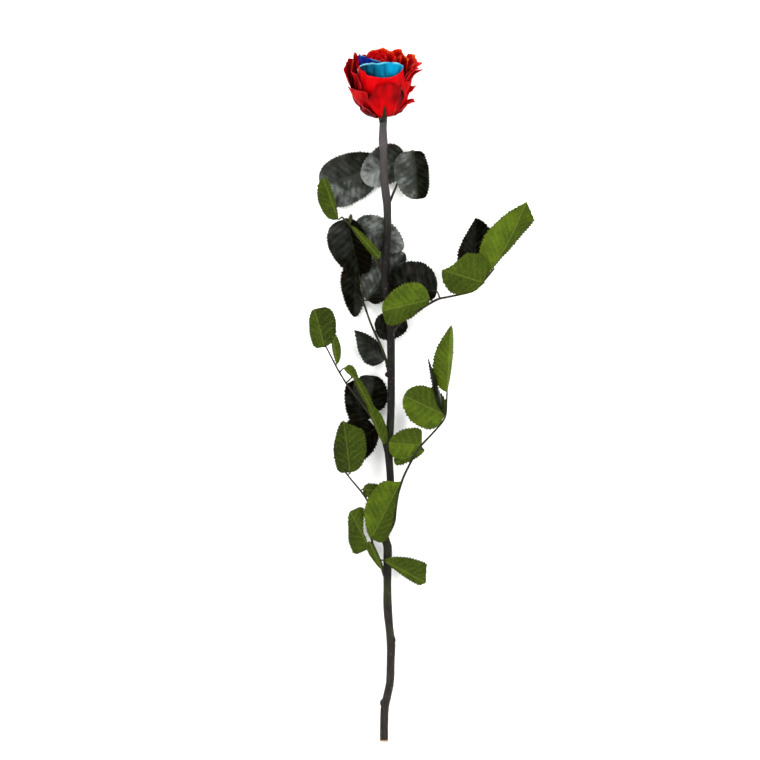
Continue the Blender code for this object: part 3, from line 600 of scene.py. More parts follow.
def add(tree, kind, values=None, stops=None, **settings):
    """Add a node, with its settings, its inputs' values and its links.  A colour ramp's stops
    are places and sRGB hex values."""
    node = tree.nodes.new(kind)
    for name, setting in settings.items():
        setattr(node, name, setting)
    for key, value in (values or {}).items():
        value = value.socket if isinstance(value, Number) else value
        socket = node.inputs[key]
        if isinstance(value, bpy.types.NodeSocket):
            tree.links.new(value, socket)
        else:
            socket.default_value = value
    for index, (where, code) in enumerate(stops or ()):
        elements = node.color_ramp.elements
        stop = elements[index] if index < 2 else elements.new(where)
        stop.position = where
        stop.color = colour(code)
    return node


class Number:
    """A number inside a node tree.  Arithmetic on it adds Math nodes, so that the rule of a
    shape or a pattern can be written as a formula."""

    def __init__(self, tree, socket):
        self.tree = tree
        self.socket = socket

    def math(self, operation, *others):
        values = dict(enumerate((self, *others)))
        node = add(self.tree, "ShaderNodeMath", values, operation=operation)
        return Number(self.tree, node.outputs[0])

    def __add__(self, other):
        return self.math("ADD", other)

    def __sub__(self, other):
        return self.math("SUBTRACT", other)

    def __rsub__(self, other):
        return self.math("MULTIPLY", -1.0).math("ADD", other)

    def __mul__(self, other):
        return self.math("MULTIPLY", other)

    def __truediv__(self, other):
        return self.math("DIVIDE", other)

    def __pow__(self, other):
        return self.math("POWER", other)

    def __abs__(self):
        return self.math("ABSOLUTE")

    __radd__ = __add__
    __rmul__ = __mul__

    def at_least(self, other):
        return self.math("MAXIMUM", other)

    def at_most(self, other):
        return self.math("MINIMUM", other)

    def share(self, low, high):
        """How far it is from low to high, kept between 0 and 1."""
        return ((self - low) / (high - low)).at_least(0.0).at_most(1.0)


def new_shape_tree(name, numbers, vectors, counts, material):
    """A Geometry Nodes tree with named inputs.  Gives the tree, its inputs, those that are
    numbers, and its output."""
    tree = bpy.data.node_groups.new(name, "GeometryNodeTree")
    tree.interface.new_socket(name="Geometry", in_out="OUTPUT", socket_type="NodeSocketGeometry")
    for labels, kind in ((("Geometry",), "Geometry"), (numbers, "Float"), (vectors, "Vector"),
                         (counts, "Int"), ((material,), "Material")):
        for label in labels:
            tree.interface.new_socket(name=label, in_out="INPUT", socket_type="NodeSocket" + kind)
    given = tree.nodes.new("NodeGroupInput")
    taken = tree.nodes.new("NodeGroupOutput")
    values = {label: Number(tree, given.outputs[label]) for label in numbers}
    return tree, given, values, taken


def finish_tree(tree, taken, geometry, material):
    """Close a tree: everything made real, and given its material."""
    real = add(tree, "GeometryNodeRealizeInstances", {"Geometry": geometry})
    painted = add(tree, "GeometryNodeSetMaterial",
                  {"Geometry": real.outputs[0], "Material": material})
    tree.links.new(painted.outputs[0], taken.inputs[0])


def point_from(tree, start, *steps):
    """A vector: the start, and so much of each direction."""
    spot = start
    for direction, amount in steps:
        step = add(tree, "ShaderNodeVectorMath", {0: direction, "Scale": amount},
                   operation="SCALE")
        spot = add(tree, "ShaderNodeVectorMath", {0: spot, 1: step.outputs[0]},
                   operation="ADD").outputs[0]
    return spot


def bent_sheet(tree, sheet, spot, lift, close):
    """Move a sheet's points to their spots, kept off the floor, and close its pointed ends."""
    parts = add(tree, "ShaderNodeSeparateXYZ", {0: spot})
    level = (Number(tree, parts.outputs[2]) + lift).at_least(FLOOR_CLEARANCE)
    spot = add(tree, "ShaderNodeCombineXYZ", {0: parts.outputs[0], 1: parts.outputs[1], 2: level})
    bent = add(tree, "GeometryNodeSetPosition", {"Geometry": sheet, "Position": spot.outputs[0]})
    closed = add(tree, "GeometryNodeMergeByDistance",
                 {"Geometry": bent.outputs[0], "Distance": close})
    return closed.outputs[0]


def flat_sheet(tree, given):
    """A flat grid, and its two coordinates from -0.5 to 0.5 as numbers."""
    grid = add(tree, "GeometryNodeMeshGrid", {
        "Size X": 1.0,
        "Size Y": 1.0,
        "Vertices X": given.outputs["Columns"],
        "Vertices Y": given.outputs["Rows"],
    })
    position = add(tree, "GeometryNodeInputPosition")
    parts = add(tree, "ShaderNodeSeparateXYZ", {0: position.outputs[0]})
    return grid.outputs[0], Number(tree, parts.outputs[0]), Number(tree, parts.outputs[1])


def marked(tree, sheet, sideways, lengthwise, **numbers):
    """Keep on the sheet what its materials read: a UV map in metres, and named numbers."""
    pair = add(tree, "ShaderNodeCombineXYZ", {0: sideways, 1: lengthwise})
    sheet = add(tree, "GeometryNodeStoreNamedAttribute",
                {"Geometry": sheet, "Name": "UVMap", "Value": pair.outputs[0]},
                data_type="FLOAT2", domain="CORNER").outputs[0]
    for name, value in numbers.items():
        sheet = add(tree, "GeometryNodeStoreNamedAttribute",
                    {"Geometry": sheet, "Name": name, "Value": value},
                    data_type="FLOAT", domain="POINT").outputs[0]
    return sheet


def uneven(tree, scale, detail, seed, *coordinates):
    """Smooth unevenness from -1 to 1 over the given numbers."""
    spot = add(tree, "ShaderNodeCombineXYZ", dict(enumerate(coordinates)))
    cloud = add(tree, "ShaderNodeTexNoise",
                {"Vector": spot.outputs[0], "W": seed, "Scale": scale, "Detail": detail},
                noise_dimensions="4D")
    return Number(tree, cloud.outputs[0]) * 2.0 - 1.0


def leaflet_tree():
    """One blade: a grid bent to the leaflet's outline, with saw teeth, a midrib, side veins
    that run forward to the margin, and quilting between them."""
    by_half = [side + part for side in ("Left", "Right")
               for part in (" width", " widest", " point", " cut", " lift")]
    numbers = (*by_half, "Arch", "Bow", "Length", "Teeth", "Tooth depth", "Vein pairs",
               "Relief", "Ripple", "Seed", "Tone", "Halves", "Along")
    tree, given, n, taken = new_shape_tree("leaflet blade", numbers, ("Base", "Run", "Left"),
                                           ("Columns", "Rows"), "Tissue")
    grid, x, y = flat_sheet(tree, given)
    t = y + 0.5
    s = x * -2.0
    size = abs(s)
    is_left = s.math("GREATER_THAN", 0.0)

    def of_this_half(part):
        left, right = n["Left" + part], n["Right" + part]
        return right + (left - right) * is_left

    # the outline: how much of its width the blade has at each place along it
    width, widest, point = map(of_this_half, (" width", " widest", " point"))
    swell = (t / widest) ** (point * widest)
    swell = swell * ((1.0 - t) / (1.0 - widest)) ** (point * (1.0 - widest))
    cut = of_this_half(" cut").at_least(SHORTEST_CUT)
    swell = swell * ((1.0 - t) / cut).at_most(1.0)
    hump = t * (1.0 - t) * 4.0
    swell = swell.at_least(hump * SLIMMEST)

    # saw teeth at the very margin that point forward and fade at the blade's two ends, and an
    # outline that isn't quite even
    saw = (t * n["Teeth"] + is_left * TOOTH_LEAD).math("FRACT") ** TOOTH_LEAN - TOOTH_MIDDLE
    tooth = saw * n["Tooth depth"] * size ** 7.0 * (hump * 3.0).at_most(1.0) ** 2.0
    wander = uneven(tree, 4.0, 2.0, n["Seed"], t, is_left * 5.0)
    outward = s.math("SIGN") * (tooth + wander * width * OUTLINE_WANDER * size ** 3.0 * hump)
    across = n["Bow"] * hump ** 2.0 * (1.0 - size) + s * width * swell + outward

    # midrib and side veins
    from_rib = size * width * swell
    rib = (1.0 - from_rib / RIB_HALF_WIDTH).at_least(0.0) ** 1.5
    forward = size * VEIN_SWEEP - size * size * VEIN_CURL
    turn = ((t - forward) * n["Vein pairs"] + is_left * VEIN_LEAD).math("FRACT")
    beside = abs(turn - 0.5) * n["Length"] / n["Vein pairs"] / VEIN_HALF_WIDTH
    line = (1.0 - beside).at_least(0.0) * (1.0 - size ** 6.0)
    quilt = (turn * math.tau).math("COSINE") * -2.0 * size * (1.0 - size)
    veins = rib.at_least(line * SIDE_VEIN)
    relief = (rib * RIB_HEIGHT + line * VEIN_HEIGHT + quilt * QUILT_HEIGHT) * n["Relief"]
    relief = relief * (hump * 6.0).at_most(1.0)

    # the fold along the midrib, the blade's bend, and ripples that grow towards the margin
    fold = of_this_half(" lift") * swell * size ** 1.5
    ripple = uneven(tree, 1.8, 1.0, n["Seed"], t * 1.7, s) * n["Ripple"] * size * hump
    height = n["Arch"] * hump + fold + relief + ripple

    # painted light: one half of the blade brighter than the other, and the tip brighter than the
    # base
    tone = n["Tone"] + (is_left - 0.5) * n["Halves"] * (size * 6.0).at_most(1.0)
    tone = tone + (t - 0.5) * n["Along"]
    sideways = s * width * swell + n["Seed"] * PATTERN_SHIFT
    sheet = marked(tree, grid, sideways, t * n["Length"], vein=veins, margin=size, tone=tone,
                   quilt=quilt * n["Relief"])
    spot = point_from(tree, given.outputs["Base"], (given.outputs["Run"], t),
                      (given.outputs["Left"], across))
    bent = bent_sheet(tree, sheet, spot, height, BLADE_WELD)
    finish_tree(tree, taken, bent, given.outputs["Tissue"])
    return tree


def bezier(p0, p1, p2, p3, t):
    """A number led from the first to the last of four, along a cubic curve."""
    s = 1.0 - t
    return s * s * s * p0 + s * s * t * 3.0 * p1 + s * t * t * 3.0 * p2 + t * t * t * p3


def petal_tree():
    """One petal or sepal: a grid wrapped round the bloom's axis, cupped, with a rolled and
    waved rim.  A sepal has a half width in place of a spread."""
    numbers = ("Angle", "Spread", "Waist", "Radius", "Height", "Rim", "Flare", "Top", "Drop",
               "Slope", "Spiral", "Start", "Belly", "Wave", "Dent", "Roll", "Half width", "Out",
               "Seed", "Gold", "Shade", "Depth", "Lean", "Pale")
    tree, given, n, taken = new_shape_tree("petal", numbers, ("Seat", "Axis", "Right", "Front"),
                                           ("Columns", "Rows"), "Tissue")
    grid, x, y = flat_sheet(tree, given)
    across = x * 2.0
    rise = y + 0.5
    size = abs(across)

    # the cup's profile, up to the rim with its corners
    ragged = uneven(tree, 2.6, 4.0, n["Seed"], across) * n["Wave"] * RAGGED_RIM
    top = n["Top"] - n["Drop"] * size ** CORNER_ROUNDING + n["Slope"] * across + ragged
    shown = n["Start"] + (top - n["Start"]) * rise
    radius = bezier(FOOT_RADIUS, n["Belly"] * n["Radius"],
                    (n["Belly"] + SHOULDER) * n["Radius"], n["Rim"] * n["Radius"], shown)
    height = bezier(FOOT_HEIGHT, n["Height"] * BELLY_LEVEL, n["Height"] * SHOULDER_LEVEL,
                    n["Height"], shown)
    rolled = ((shown - FLARE_FROM) / (1.0 - FLARE_FROM)).at_least(0.0)
    radius = radius + n["Flare"] * rolled ** 2.0
    height = height - n["Flare"] * rolled ** 3.0 * FLARE_SINK

    # waves along the rim, folds down the cup, broad dents, and the rolled lip
    swing = uneven(tree, 1.9, 1.0, n["Seed"] + 7.0, across * 1.3, shown * 0.6)
    radius = radius + swing * n["Wave"] * (rolled * 1.6 + 0.3)
    folds = uneven(tree, 7.0, 2.0, n["Seed"] + 3.0, across, shown * 0.25)
    radius = radius + folds * n["Wave"] * FOLD_DEPTH
    dents = uneven(tree, 1.0, 1.0, n["Seed"] + 5.0, across * n["Spread"] * 3.4, shown * 3.0)
    radius = radius + dents * n["Dent"] * (shown * 3.0).at_most(1.0)
    lip = ((rise - LIP_FROM) / (1.0 - LIP_FROM)).at_least(0.0) * LIP_TURN
    radius = radius + (LIP_SETBACK - lip.math("COSINE")) * n["Roll"] * rise ** 8.0
    height = height + (lip.math("SINE") - lip) * n["Roll"]
    radius = radius + n["Spiral"] * across * (shown * 1.6).at_most(1.0)

    narrowing = n["Half width"] * (1.0 - rise) ** 0.7 / radius
    waisted = n["Waist"] + (1.0 - n["Waist"]) * (shown * 1.25).at_most(1.0) ** 2.0
    turn = n["Angle"] + across * (n["Spread"] * waisted + narrowing)
    radius = radius + n["Out"]
    height = height - n["Out"] * SINK_PER_GAP
    # painted shade: the petal's own shade, more towards one edge by lean, darker in the hollows of
    # dents and folds and lighter on their bulges
    shade = n["Shade"] + n["Lean"] * across * 0.5 - dents * DENT_SHADE - folds * FOLD_SHADE
    sheet = marked(tree, grid, across * radius * MM + n["Seed"] * PATTERN_SHIFT, height * MM,
                   edge=rise, side=size, gold=n["Gold"], depth=n["Depth"], shade=shade,
                   pale=n["Pale"])
    spot = point_from(tree, given.outputs["Seat"],
                      (given.outputs["Axis"], height * MM),
                      (given.outputs["Right"], turn.math("SINE") * radius * MM),
                      (given.outputs["Front"], turn.math("COSINE") * radius * MM))
    bent = bent_sheet(tree, sheet, spot, 0.0, PETAL_WELD)
    finish_tree(tree, taken, bent, given.outputs["Tissue"])
    return tree


def twig_tree():
    """A woody twig along a curve: a round rod with ridged bark, and pores that stand out of it,
    closer together in one band."""
    numbers = ("Ridge", "Pores", "Pore size", "Band place", "Band width", "Seed")
    tree, given, n, taken = new_shape_tree("woody twig", numbers, (), ("Sides",), "Bark")
    ring = add(tree, "GeometryNodeCurvePrimitiveCircle",
               {"Resolution": given.outputs["Sides"], "Radius": 1.0})
    thickness = add(tree, "GeometryNodeInputRadius")
    rod = add(tree, "GeometryNodeCurveToMesh", {
        "Curve": given.outputs["Geometry"],
        "Profile Curve": ring.outputs[0],
        "Scale": thickness.outputs[0],
        "Fill Caps": True,
    })
    position = add(tree, "GeometryNodeInputPosition")
    parts = add(tree, "ShaderNodeSeparateXYZ", {0: position.outputs[0]})
    x, y, z = [Number(tree, socket) for socket in parts.outputs]
    grain = uneven(tree, 1.0, 2.0, n["Seed"], x / RIDGE_WIDTH, y / RIDGE_LENGTH, z / RIDGE_WIDTH)
    swelling = uneven(tree, 1.0, 1.0, n["Seed"], x / BUMP_LENGTH, y / BUMP_LENGTH, z / BUMP_LENGTH)
    normal = add(tree, "GeometryNodeInputNormal")
    offset = point_from(tree, (0, 0, 0), (normal.outputs[0], (grain + swelling) * n["Ridge"]))
    barked = add(tree, "GeometryNodeSetPosition", {"Geometry": rod.outputs[0], "Offset": offset})

    away = (y - n["Band place"]) / n["Band width"]
    crowd = (away * away * -1.0).math("EXPONENT") * PORE_CROWD + 1.0
    scattered = add(tree, "GeometryNodeDistributePointsOnFaces", {
        "Mesh": barked.outputs[0],
        "Density": n["Pores"] * crowd,
        "Seed": PORE_SEED,
    })
    pore = add(tree, "GeometryNodeMeshIcoSphere",
               {"Radius": n["Pore size"], "Subdivisions": 2})
    spread = add(tree, "FunctionNodeRandomValue",
                 {"Min": PORE_SHAPES[0], "Max": PORE_SHAPES[1]}, data_type="FLOAT_VECTOR")
    pores = add(tree, "GeometryNodeInstanceOnPoints", {
        "Points": scattered.outputs["Points"],
        "Instance": pore.outputs[0],
        "Rotation": scattered.outputs["Rotation"],
        "Scale": spread.outputs[0],
    })
    real = add(tree, "GeometryNodeRealizeInstances", {"Geometry": pores.outputs[0]})
    both = add(tree, "GeometryNodeJoinGeometry")
    for part, is_pore in ((barked, 0.0), (real, 1.0)):
        kept = add(tree, "GeometryNodeStoreNamedAttribute",
                   {"Geometry": part.outputs[0], "Name": "pore", "Value": is_pore},
                   data_type="FLOAT", domain="POINT")
        tree.links.new(kept.outputs[0], both.inputs[0])
    finish_tree(tree, taken, both.outputs[0], given.outputs["Bark"])
    return tree


def blank(name):
    """An object with an empty mesh, for a tree to fill."""
    return bpy.data.objects.new(name, bpy.data.meshes.new(name))


def grow(thing, tree, values):
    """Run a tree on the object with these named inputs, and give the plain mesh it makes."""
    bpy.context.scene.collection.objects.link(thing)
    growth = thing.modifiers.new("growth", "NODES")
    growth.node_group = tree
    keys = {item.name: item.identifier for item in tree.interface.items_tree
            if item.in_out == "INPUT"}
    for label, value in values.items():
        growth[keys[label]] = value
    return plain_mesh(thing)


def plain_mesh(thing):
    """The object with its modifiers made part of its mesh."""
    bpy.context.view_layer.update()
    graph = bpy.context.evaluated_depsgraph_get()
    mesh = bpy.data.meshes.new_from_object(thing.evaluated_get(graph), depsgraph=graph)
    mesh.transform(thing.matrix_world)
    name = thing.name
    bpy.data.objects.remove(thing, do_unlink=True)
    plain = bpy.data.objects.new(name, mesh)
    bpy.context.scene.collection.objects.link(plain)
    return plain


def walled(sheet, thickness_mm, front, back):
    """Give a sheet its thickness, half to each side, and a material to each side."""
    sheet.data.materials.clear()
    sheet.data.materials.append(front)
    sheet.data.materials.append(back)
    wall = sheet.modifiers.new("wall", "SOLIDIFY")
    wall.thickness = thickness_mm * MM
    wall.offset = 0.0
    wall.use_rim = True
    wall.material_offset = 1
    wall.use_quality_normals = True
    return plain_mesh(sheet)


def joined(name, things):
    """One object of several, with their materials."""
    things[0].name = name
    things[0].data.name = name
    with bpy.context.temp_override(active_object=things[0], object=things[0],
                                   selected_editable_objects=things, selected_objects=things):
        bpy.ops.object.join()
    return things[0]


def put_in_frame(thing, node):
    """The finished piece is shaded smooth, stands for its node and moves with the flower."""
    materials = thing.data.materials
    for index in reversed(range(len(materials))):
        if not materials[index]:
            materials.pop(index=index)
    thing.data.shade_smooth()
    thing.data.set_sharp_from_angle(angle=SHARP_ANGLE)
    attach(thing, "root")
    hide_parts(node)


def twig(tree, name, path, radii, sides, bark, **bark_values):
    """A twig along a path, with its radii in mm.  It is smooth and has no pores, where
    bark_values doesn't say otherwise."""
    curve = bpy.data.curves.new(name, "CURVE")
    curve.dimensions = "3D"
    spline = curve.splines.new("POLY")
    spline.points.add(len(path) - 1)
    for knot, point, radius in zip(spline.points, path, radii):
        knot.co = (*point, 1.0)
        knot.radius = radius * MM
    values = {
        "Ridge": 0.0, "Pores": 0.0, "Pore size": PORE_SIZE * MM, "Band place": 0.0,
        "Band width": 1.0, "Seed": BARK_SEED, "Sides": sides, "Bark": bark,
    }
    return grow(bpy.data.objects.new(name, curve), tree, {**values, **bark_values})


def bud(place_and_size, material):
    """A small bud or stub, drawn out along the flower."""
    u, v, height, length, thickness = place_and_size
    bpy.ops.mesh.primitive_uv_sphere_add(segments=16, ring_count=10, radius=0.5)
    thing = bpy.context.active_object
    direction = Vector(BUD_DIRECTION).normalized()
    turn = Vector((0, 0, 1)).rotation_difference(direction).to_matrix()
    stretch = Matrix.Diagonal((thickness * MM, thickness * MM, length * MM))
    thing.data.transform((turn @ stretch).to_4x4())
    thing.data.transform(Matrix.Translation(place(u, v, height)))
    thing.data.materials.append(material)
    return thing


# Leaves

def leaflet_blade(tree, leaflet, seed, under, upper):
    """A blade with its wall, and the right tissue on each face."""
    base = place(*leaflet.base)
    run = place(*leaflet.tip) - base
    length = Vector((run.x, run.y, 0)).length
    teeth = max(FEWEST_TEETH, round(length / MM / TOOTH_PITCH))
    vein_pairs = max(FEWEST_VEINS, round(length / MM / VEIN_PITCH))
    shows_under = leaflet.face == "under"
    front, back = (under, upper) if shows_under else (upper, under)
    values = {
        "Base": base, "Run": run, "Left": Vector((-run.y, run.x, 0)).normalized(),
        "Arch": leaflet.arch * MM, "Bow": leaflet.bow * UNIT, "Length": length,
        "Teeth": float(teeth), "Tooth depth": TOOTH_DEPTH * MM * leaflet.toothed,
        "Vein pairs": float(vein_pairs), "Relief": 1.0 if shows_under else SUNK,
        "Ripple": RIPPLE * MM, "Seed": float(seed), "Tone": leaflet.tone,
        "Halves": leaflet.halves, "Along": leaflet.along,
        "Columns": BLADE_COLUMNS, "Rows": teeth * ROWS_PER_TOOTH + 1, "Tissue": front,
    }
    points = (leaflet.point, leaflet.right_point or leaflet.point)
    halves = zip(("Left", "Right"), (leaflet.left, leaflet.right), points, leaflet.cut,
                 leaflet.lift)
    for side, (width, widest), point, cut, lift in halves:
        values.update({side + " width": width * UNIT, side + " widest": widest,
                       side + " point": point, side + " cut": cut, side + " lift": lift * MM})
    return walled(grow(blank("leaflet"), tree, values), BLADE_THICKNESS, front, back)


def leaf_stalk(tree, leaflet, path, material):
    """The short stalk from the nearest point of the rachis into the blade."""
    base = place(*leaflet.base)
    inside = base.lerp(place(*leaflet.tip), STALK_REACH)
    inside.z += leaflet.arch * MM * STALK_ARCH
    joint = min(path, key=lambda point: (point - base).length)
    if (joint - base).length < STALK_LEAST * MM:
        joint = joint + (base - inside).normalized() * MM
    knots = smooth_path([joint, base, inside], LEAF_STEPS)
    radii = [STALK_RADIUS * (1 - STALK_TAPER * index / len(knots)) for index in range(len(knots))]
    return twig(tree, "stalk", knots, radii, STALK_SIDES, material)


def compound_leaf(leaf, blade, shoot, tissues, seed):
    """A leaf in one piece: its rachis, its blades on their stalks, and its buds."""
    under, upper, stalk_tissue = tissues
    knots = [place(*knot) for knot in leaf.rachis]
    path = [Vector(knot) for knot in smooth_path(knots, LEAF_STEPS)]
    along = [index / len(path) for index in range(len(path))]
    radii = [RACHIS_RADIUS * (RACHIS_START - RACHIS_TAPER * t
                              + RACHIS_FOOT * math.exp(-RACHIS_FOOT_FADE * t)) for t in along]
    things = [twig(shoot, "rachis", path, radii, RACHIS_SIDES, stalk_tissue,
                   Ridge=RACHIS_RIDGE * MM)]
    for index, leaflet in enumerate(leaf.leaflets):
        things.append(leaflet_blade(blade, leaflet, seed + index, under, upper))
        things.append(leaf_stalk(shoot, leaflet, path, stalk_tissue))
    for place_and_size in leaf.buds:
        things.append(bud(place_and_size, stalk_tissue))
    piece = joined(leaf.node.replace("leaf", "foliage"), things)
    put_in_frame(piece, leaf.node)


# Bloom

def petal(tree, shape, seed, tissue, thickness=PETAL_THICKNESS, **more):
    """A petal with its wall.  The tree's inputs have the names of the petal's own numbers, and
    more changes any of them."""
    values = {field.capitalize(): value for field, value in shape._asdict().items()}
    values.update(zip(("Seat", "Axis", "Right", "Front"), bloom_frame()))
    values.update({
        "Angle": math.radians(shape.angle), "Spread": math.radians(shape.spread),
        "Height": shape.height + LIP_DROP * shape.roll, "Top": 1.0, "Dent": PETAL_DENT,
        "Half width": 0.0, "Out": 0.0, "Seed": float(seed), "Columns": PETAL_COLUMNS,
        "Rows": PETAL_ROWS, "Tissue": tissue,
    })
    return walled(grow(blank("petal"), tree, {**values, **more}), thickness, tissue, tissue)


def heart_petals():
    """The heart's petals, from the middle outwards."""
    first = FIRST_HEART_PETAL
    return [first._replace(**{field: getattr(first, field) + step * index
                              for field, step in HEART_STEP.items()})
            for index in range(HEART_PETALS)]


def turned(name, profile, material):
    """A body turned round the bloom's axis, from heights and radii in mm."""
    points = [(radius * MM, 0, height * MM) for height, radius in profile]
    edges = [(index, index + 1) for index in range(len(points) - 1)]
    thing = blank(name)
    thing.data.from_pydata(points, edges, [])
    thing.data.materials.append(material)
    bpy.context.scene.collection.objects.link(thing)
    spin = thing.modifiers.new("turning", "SCREW")
    spin.steps = TURNED_SIDES
    spin.render_steps = TURNED_SIDES
    spin.use_merge_vertices = True
    spin.merge_threshold = TURNED_WELD
    body = plain_mesh(thing)
    seat, axis, right, front = bloom_frame()
    body.data.transform(Matrix((front, right, axis)).transposed().to_4x4())
    body.data.transform(Matrix.Translation(seat))
    return body


def red_petals(tree, tissue):
    """The whole red cup in one piece: its core, its turns of petals and its heart."""
    things = [turned("core", BLOOM_CORE, tissue)]
    for seed, shape in enumerate((*RED_PETALS, *heart_petals())):
        things.append(petal(tree, shape, seed, tissue))
    put_in_frame(joined("red_petals", things), "petals_red")


def blue_petal(tree, dye, shape, seed, tissue):
    """The cyan or the navy petal, each a piece of its own."""
    piece = petal(tree, shape, seed, tissue)
    piece.name = dye + "_petal"
    put_in_frame(piece, "petal_" + dye)


def calyx(tree, tissue):
    """The swollen stem end and its five sepals, which hug the outer petals."""
    profile = [(RECEPTACLE[0][0], 0.0), *RECEPTACLE, (RECEPTACLE[-1][0], 0.0)]
    things = [turned("receptacle", smooth_path(profile, RECEPTACLE_STEPS), tissue)]
    for index, (angle, length, radius) in enumerate(SEPALS):
        lobe = Petal(angle, 0.0, radius, SEPAL_HEIGHT, flare=0.0, drop=0.0, spiral=0.0,
                     start=SEPAL_START, wave=0.0, roll=0.0)
        things.append(petal(tree, lobe, SEPAL_SEED + index, tissue, SEPAL_THICKNESS, **{
            "Half width": SEPAL_HALF_WIDTH, "Top": SEPAL_START + length, "Out": SEPAL_GAP,
            "Dent": 0.0, "Columns": SEPAL_GRID[0], "Rows": SEPAL_GRID[1],
        }))
    put_in_frame(joined("calyx_sepals", things), "calyx")


# Stem

def stem(tree, bark):
    """The cane, and its buds, scars and stubs."""
    knots = smooth_path([(*place(u, v, height), STEM_RADIUS * share)
                         for u, v, height, share in STEM_ROUTE], CANE_STEPS)
    path = [Vector(knot[:3]) for knot in knots]
    things = [twig(tree, "cane", path, [knot[3] for knot in knots], CANE_SIDES, bark, **{
        "Ridge": CANE_RIDGE * MM, "Pores": PORES, "Band place": picture_line(PORE_BAND),
        "Band width": PORE_BAND_WIDTH * MM,
    })]
    for u, v, height, length, half_thickness in STEM_KNOBS:
        things.append(bud((u, v, height, length, 2 * half_thickness), bark))
    put_in_frame(joined("stem_cane", things), "stem")


# Materials

def new_finish(name, roughness, specular):
    """A new material with the numbers that are the same all over."""
    material = bpy.data.materials.new(name)
    material.use_nodes = True
    tree = material.node_tree
    shader = tree.nodes["Principled BSDF"]
    shader.inputs["Roughness"].default_value = roughness
    shader.inputs["Specular IOR Level"].default_value = specular
    return material, tree, shader


def read(tree, *names):
    """Numbers that were kept on the mesh."""
    found = [add(tree, "ShaderNodeAttribute", attribute_name=name) for name in names]
    return [Number(tree, node.outputs["Fac"]) for node in found]


def dyed(tree, ground, *dyes):
    """A colour with others laid over it, each an sRGB hex value and an amount."""
    for code, amount in dyes:
        mix = add(tree, "ShaderNodeMix", {0: amount, 6: ground, 7: colour(code)},
                  data_type="RGBA")
        ground = mix.outputs[2]
    return ground


def patchy(tree, spot, size_mm, detail=2.0):
    """Smooth patches of about this size, from 0 to 1."""
    cloud = add(tree, "ShaderNodeTexNoise",
                {"Vector": spot, "Scale": 1 / (size_mm * MM), "Detail": detail})
    return Number(tree, cloud.outputs[0])


def finished(tree, shader, base, height, height_mm, roughness=None):
    """Give the shader its colour, its relief and, where it varies, its roughness."""
    relief = add(tree, "ShaderNodeBump", {"Height": height, "Distance": height_mm * MM})
    tree.links.new(base, shader.inputs["Base Color"])
    tree.links.new(relief.outputs[0], shader.inputs["Normal"])
    if roughness:
        tree.links.new(roughness.socket, shader.inputs["Roughness"])


def netted(tree, spot):
    """The fine net of veins in a leaf: 1 on a vein, 0 between them."""
    cells = add(tree, "ShaderNodeTexVoronoi",
                {"Vector": spot, "Scale": 1 / (NET_CELL * MM), "Randomness": 0.9},
                feature="DISTANCE_TO_EDGE")
    return 1.0 - Number(tree, cells.outputs[0]).share(0.02, 0.16)


def matt_leaf_underside():
    """The underside of a preserved rose leaf: dry to the eye, olive, with raised paler veins
    and a fine net between them."""
    material, tree, shader = new_finish("matt_leaf_underside", 0.5, 0.04)
    vein, margin, tone, quilt = read(tree, "vein", "margin", "tone", "quilt")
    spot = add(tree, "ShaderNodeUVMap", uv_map="UVMap").outputs[0]
    broad, fine, net = patchy(tree, spot, 11), patchy(tree, spot, 1.8, 3), netted(tree, spot)
    # tone carries painted light besides the blade's own colour, and the raised quilting is painted
    # lighter
    light = tone + (broad - 0.5) * 0.7 + (fine - 0.5) * 0.35 + quilt * 0.08
    ground = add(tree, "ShaderNodeValToRGB", {0: light.share(0.0, 1.0)},
                 stops=((0.0, "#141B01"), (1.0, "#4E600E"), (0.5, "#2B3804")))
    base = dyed(tree, ground.outputs[0], ("#687C24", net * 0.12), ("#76853A", vein ** 1.5 * 0.2),
                ("#2C200C", margin.share(0.95, 1.0) * 0.5))
    finished(tree, shader, base, net * 0.5 + fine, 0.15)
    return material


def waxy_leaf_face():
    """The upper face of a preserved rose leaf: dyed nearly black and waxy, with a real gloss, a
    painted silvery sheen in patches, on the raised quilting and along the margin, and a reddish
    tint towards the margin."""
    material, tree, shader = new_finish("waxy_leaf_face", 0.32, 0.2)
    vein, margin, tone, quilt = read(tree, "vein", "margin", "tone", "quilt")
    spot = add(tree, "ShaderNodeUVMap", uv_map="UVMap").outputs[0]
    broad, fine, net = patchy(tree, spot, 9), patchy(tree, spot, 1.5, 3), netted(tree, spot)
    # painted sheen: tone, broad patches and the raised quilting turn the colour silvery; the same
    # number also sets the real gloss and roughness
    painted_sheen_and_gloss = tone + (broad - 0.5) * 1.0 + (fine - 0.5) * 0.2 - quilt * 0.13
    painted_sheen_and_gloss = painted_sheen_and_gloss.share(0.0, 1.0)
    ground = add(tree, "ShaderNodeValToRGB", {0: painted_sheen_and_gloss},
                 stops=((0.0, "#030200"), (1.0, "#5A5E5A"), (0.45, "#0B0E07"), (0.7, "#1F231D")))
    rust = margin.share(0.35, 1.0) * patchy(tree, spot, 14).share(0.45, 0.62)
    # the last colour is a painted highlight along the margin
    base = dyed(tree, ground.outputs[0], ("#140A05", rust * 0.6), ("#060805", net * 0.25),
                ("#2A3222", vein * 0.2), ("#454A40", margin.share(0.955, 1.0) * (painted_sheen_and_gloss * 0.5 + 0.1)))
    finished(tree, shader, base, net * -0.6 + fine * 0.6, 0.1, 0.42 - painted_sheen_and_gloss * 0.14)
    gloss = painted_sheen_and_gloss ** 1.6 * 0.36 + 0.004
    tree.links.new(gloss.socket, shader.inputs["Specular IOR Level"])
    return material


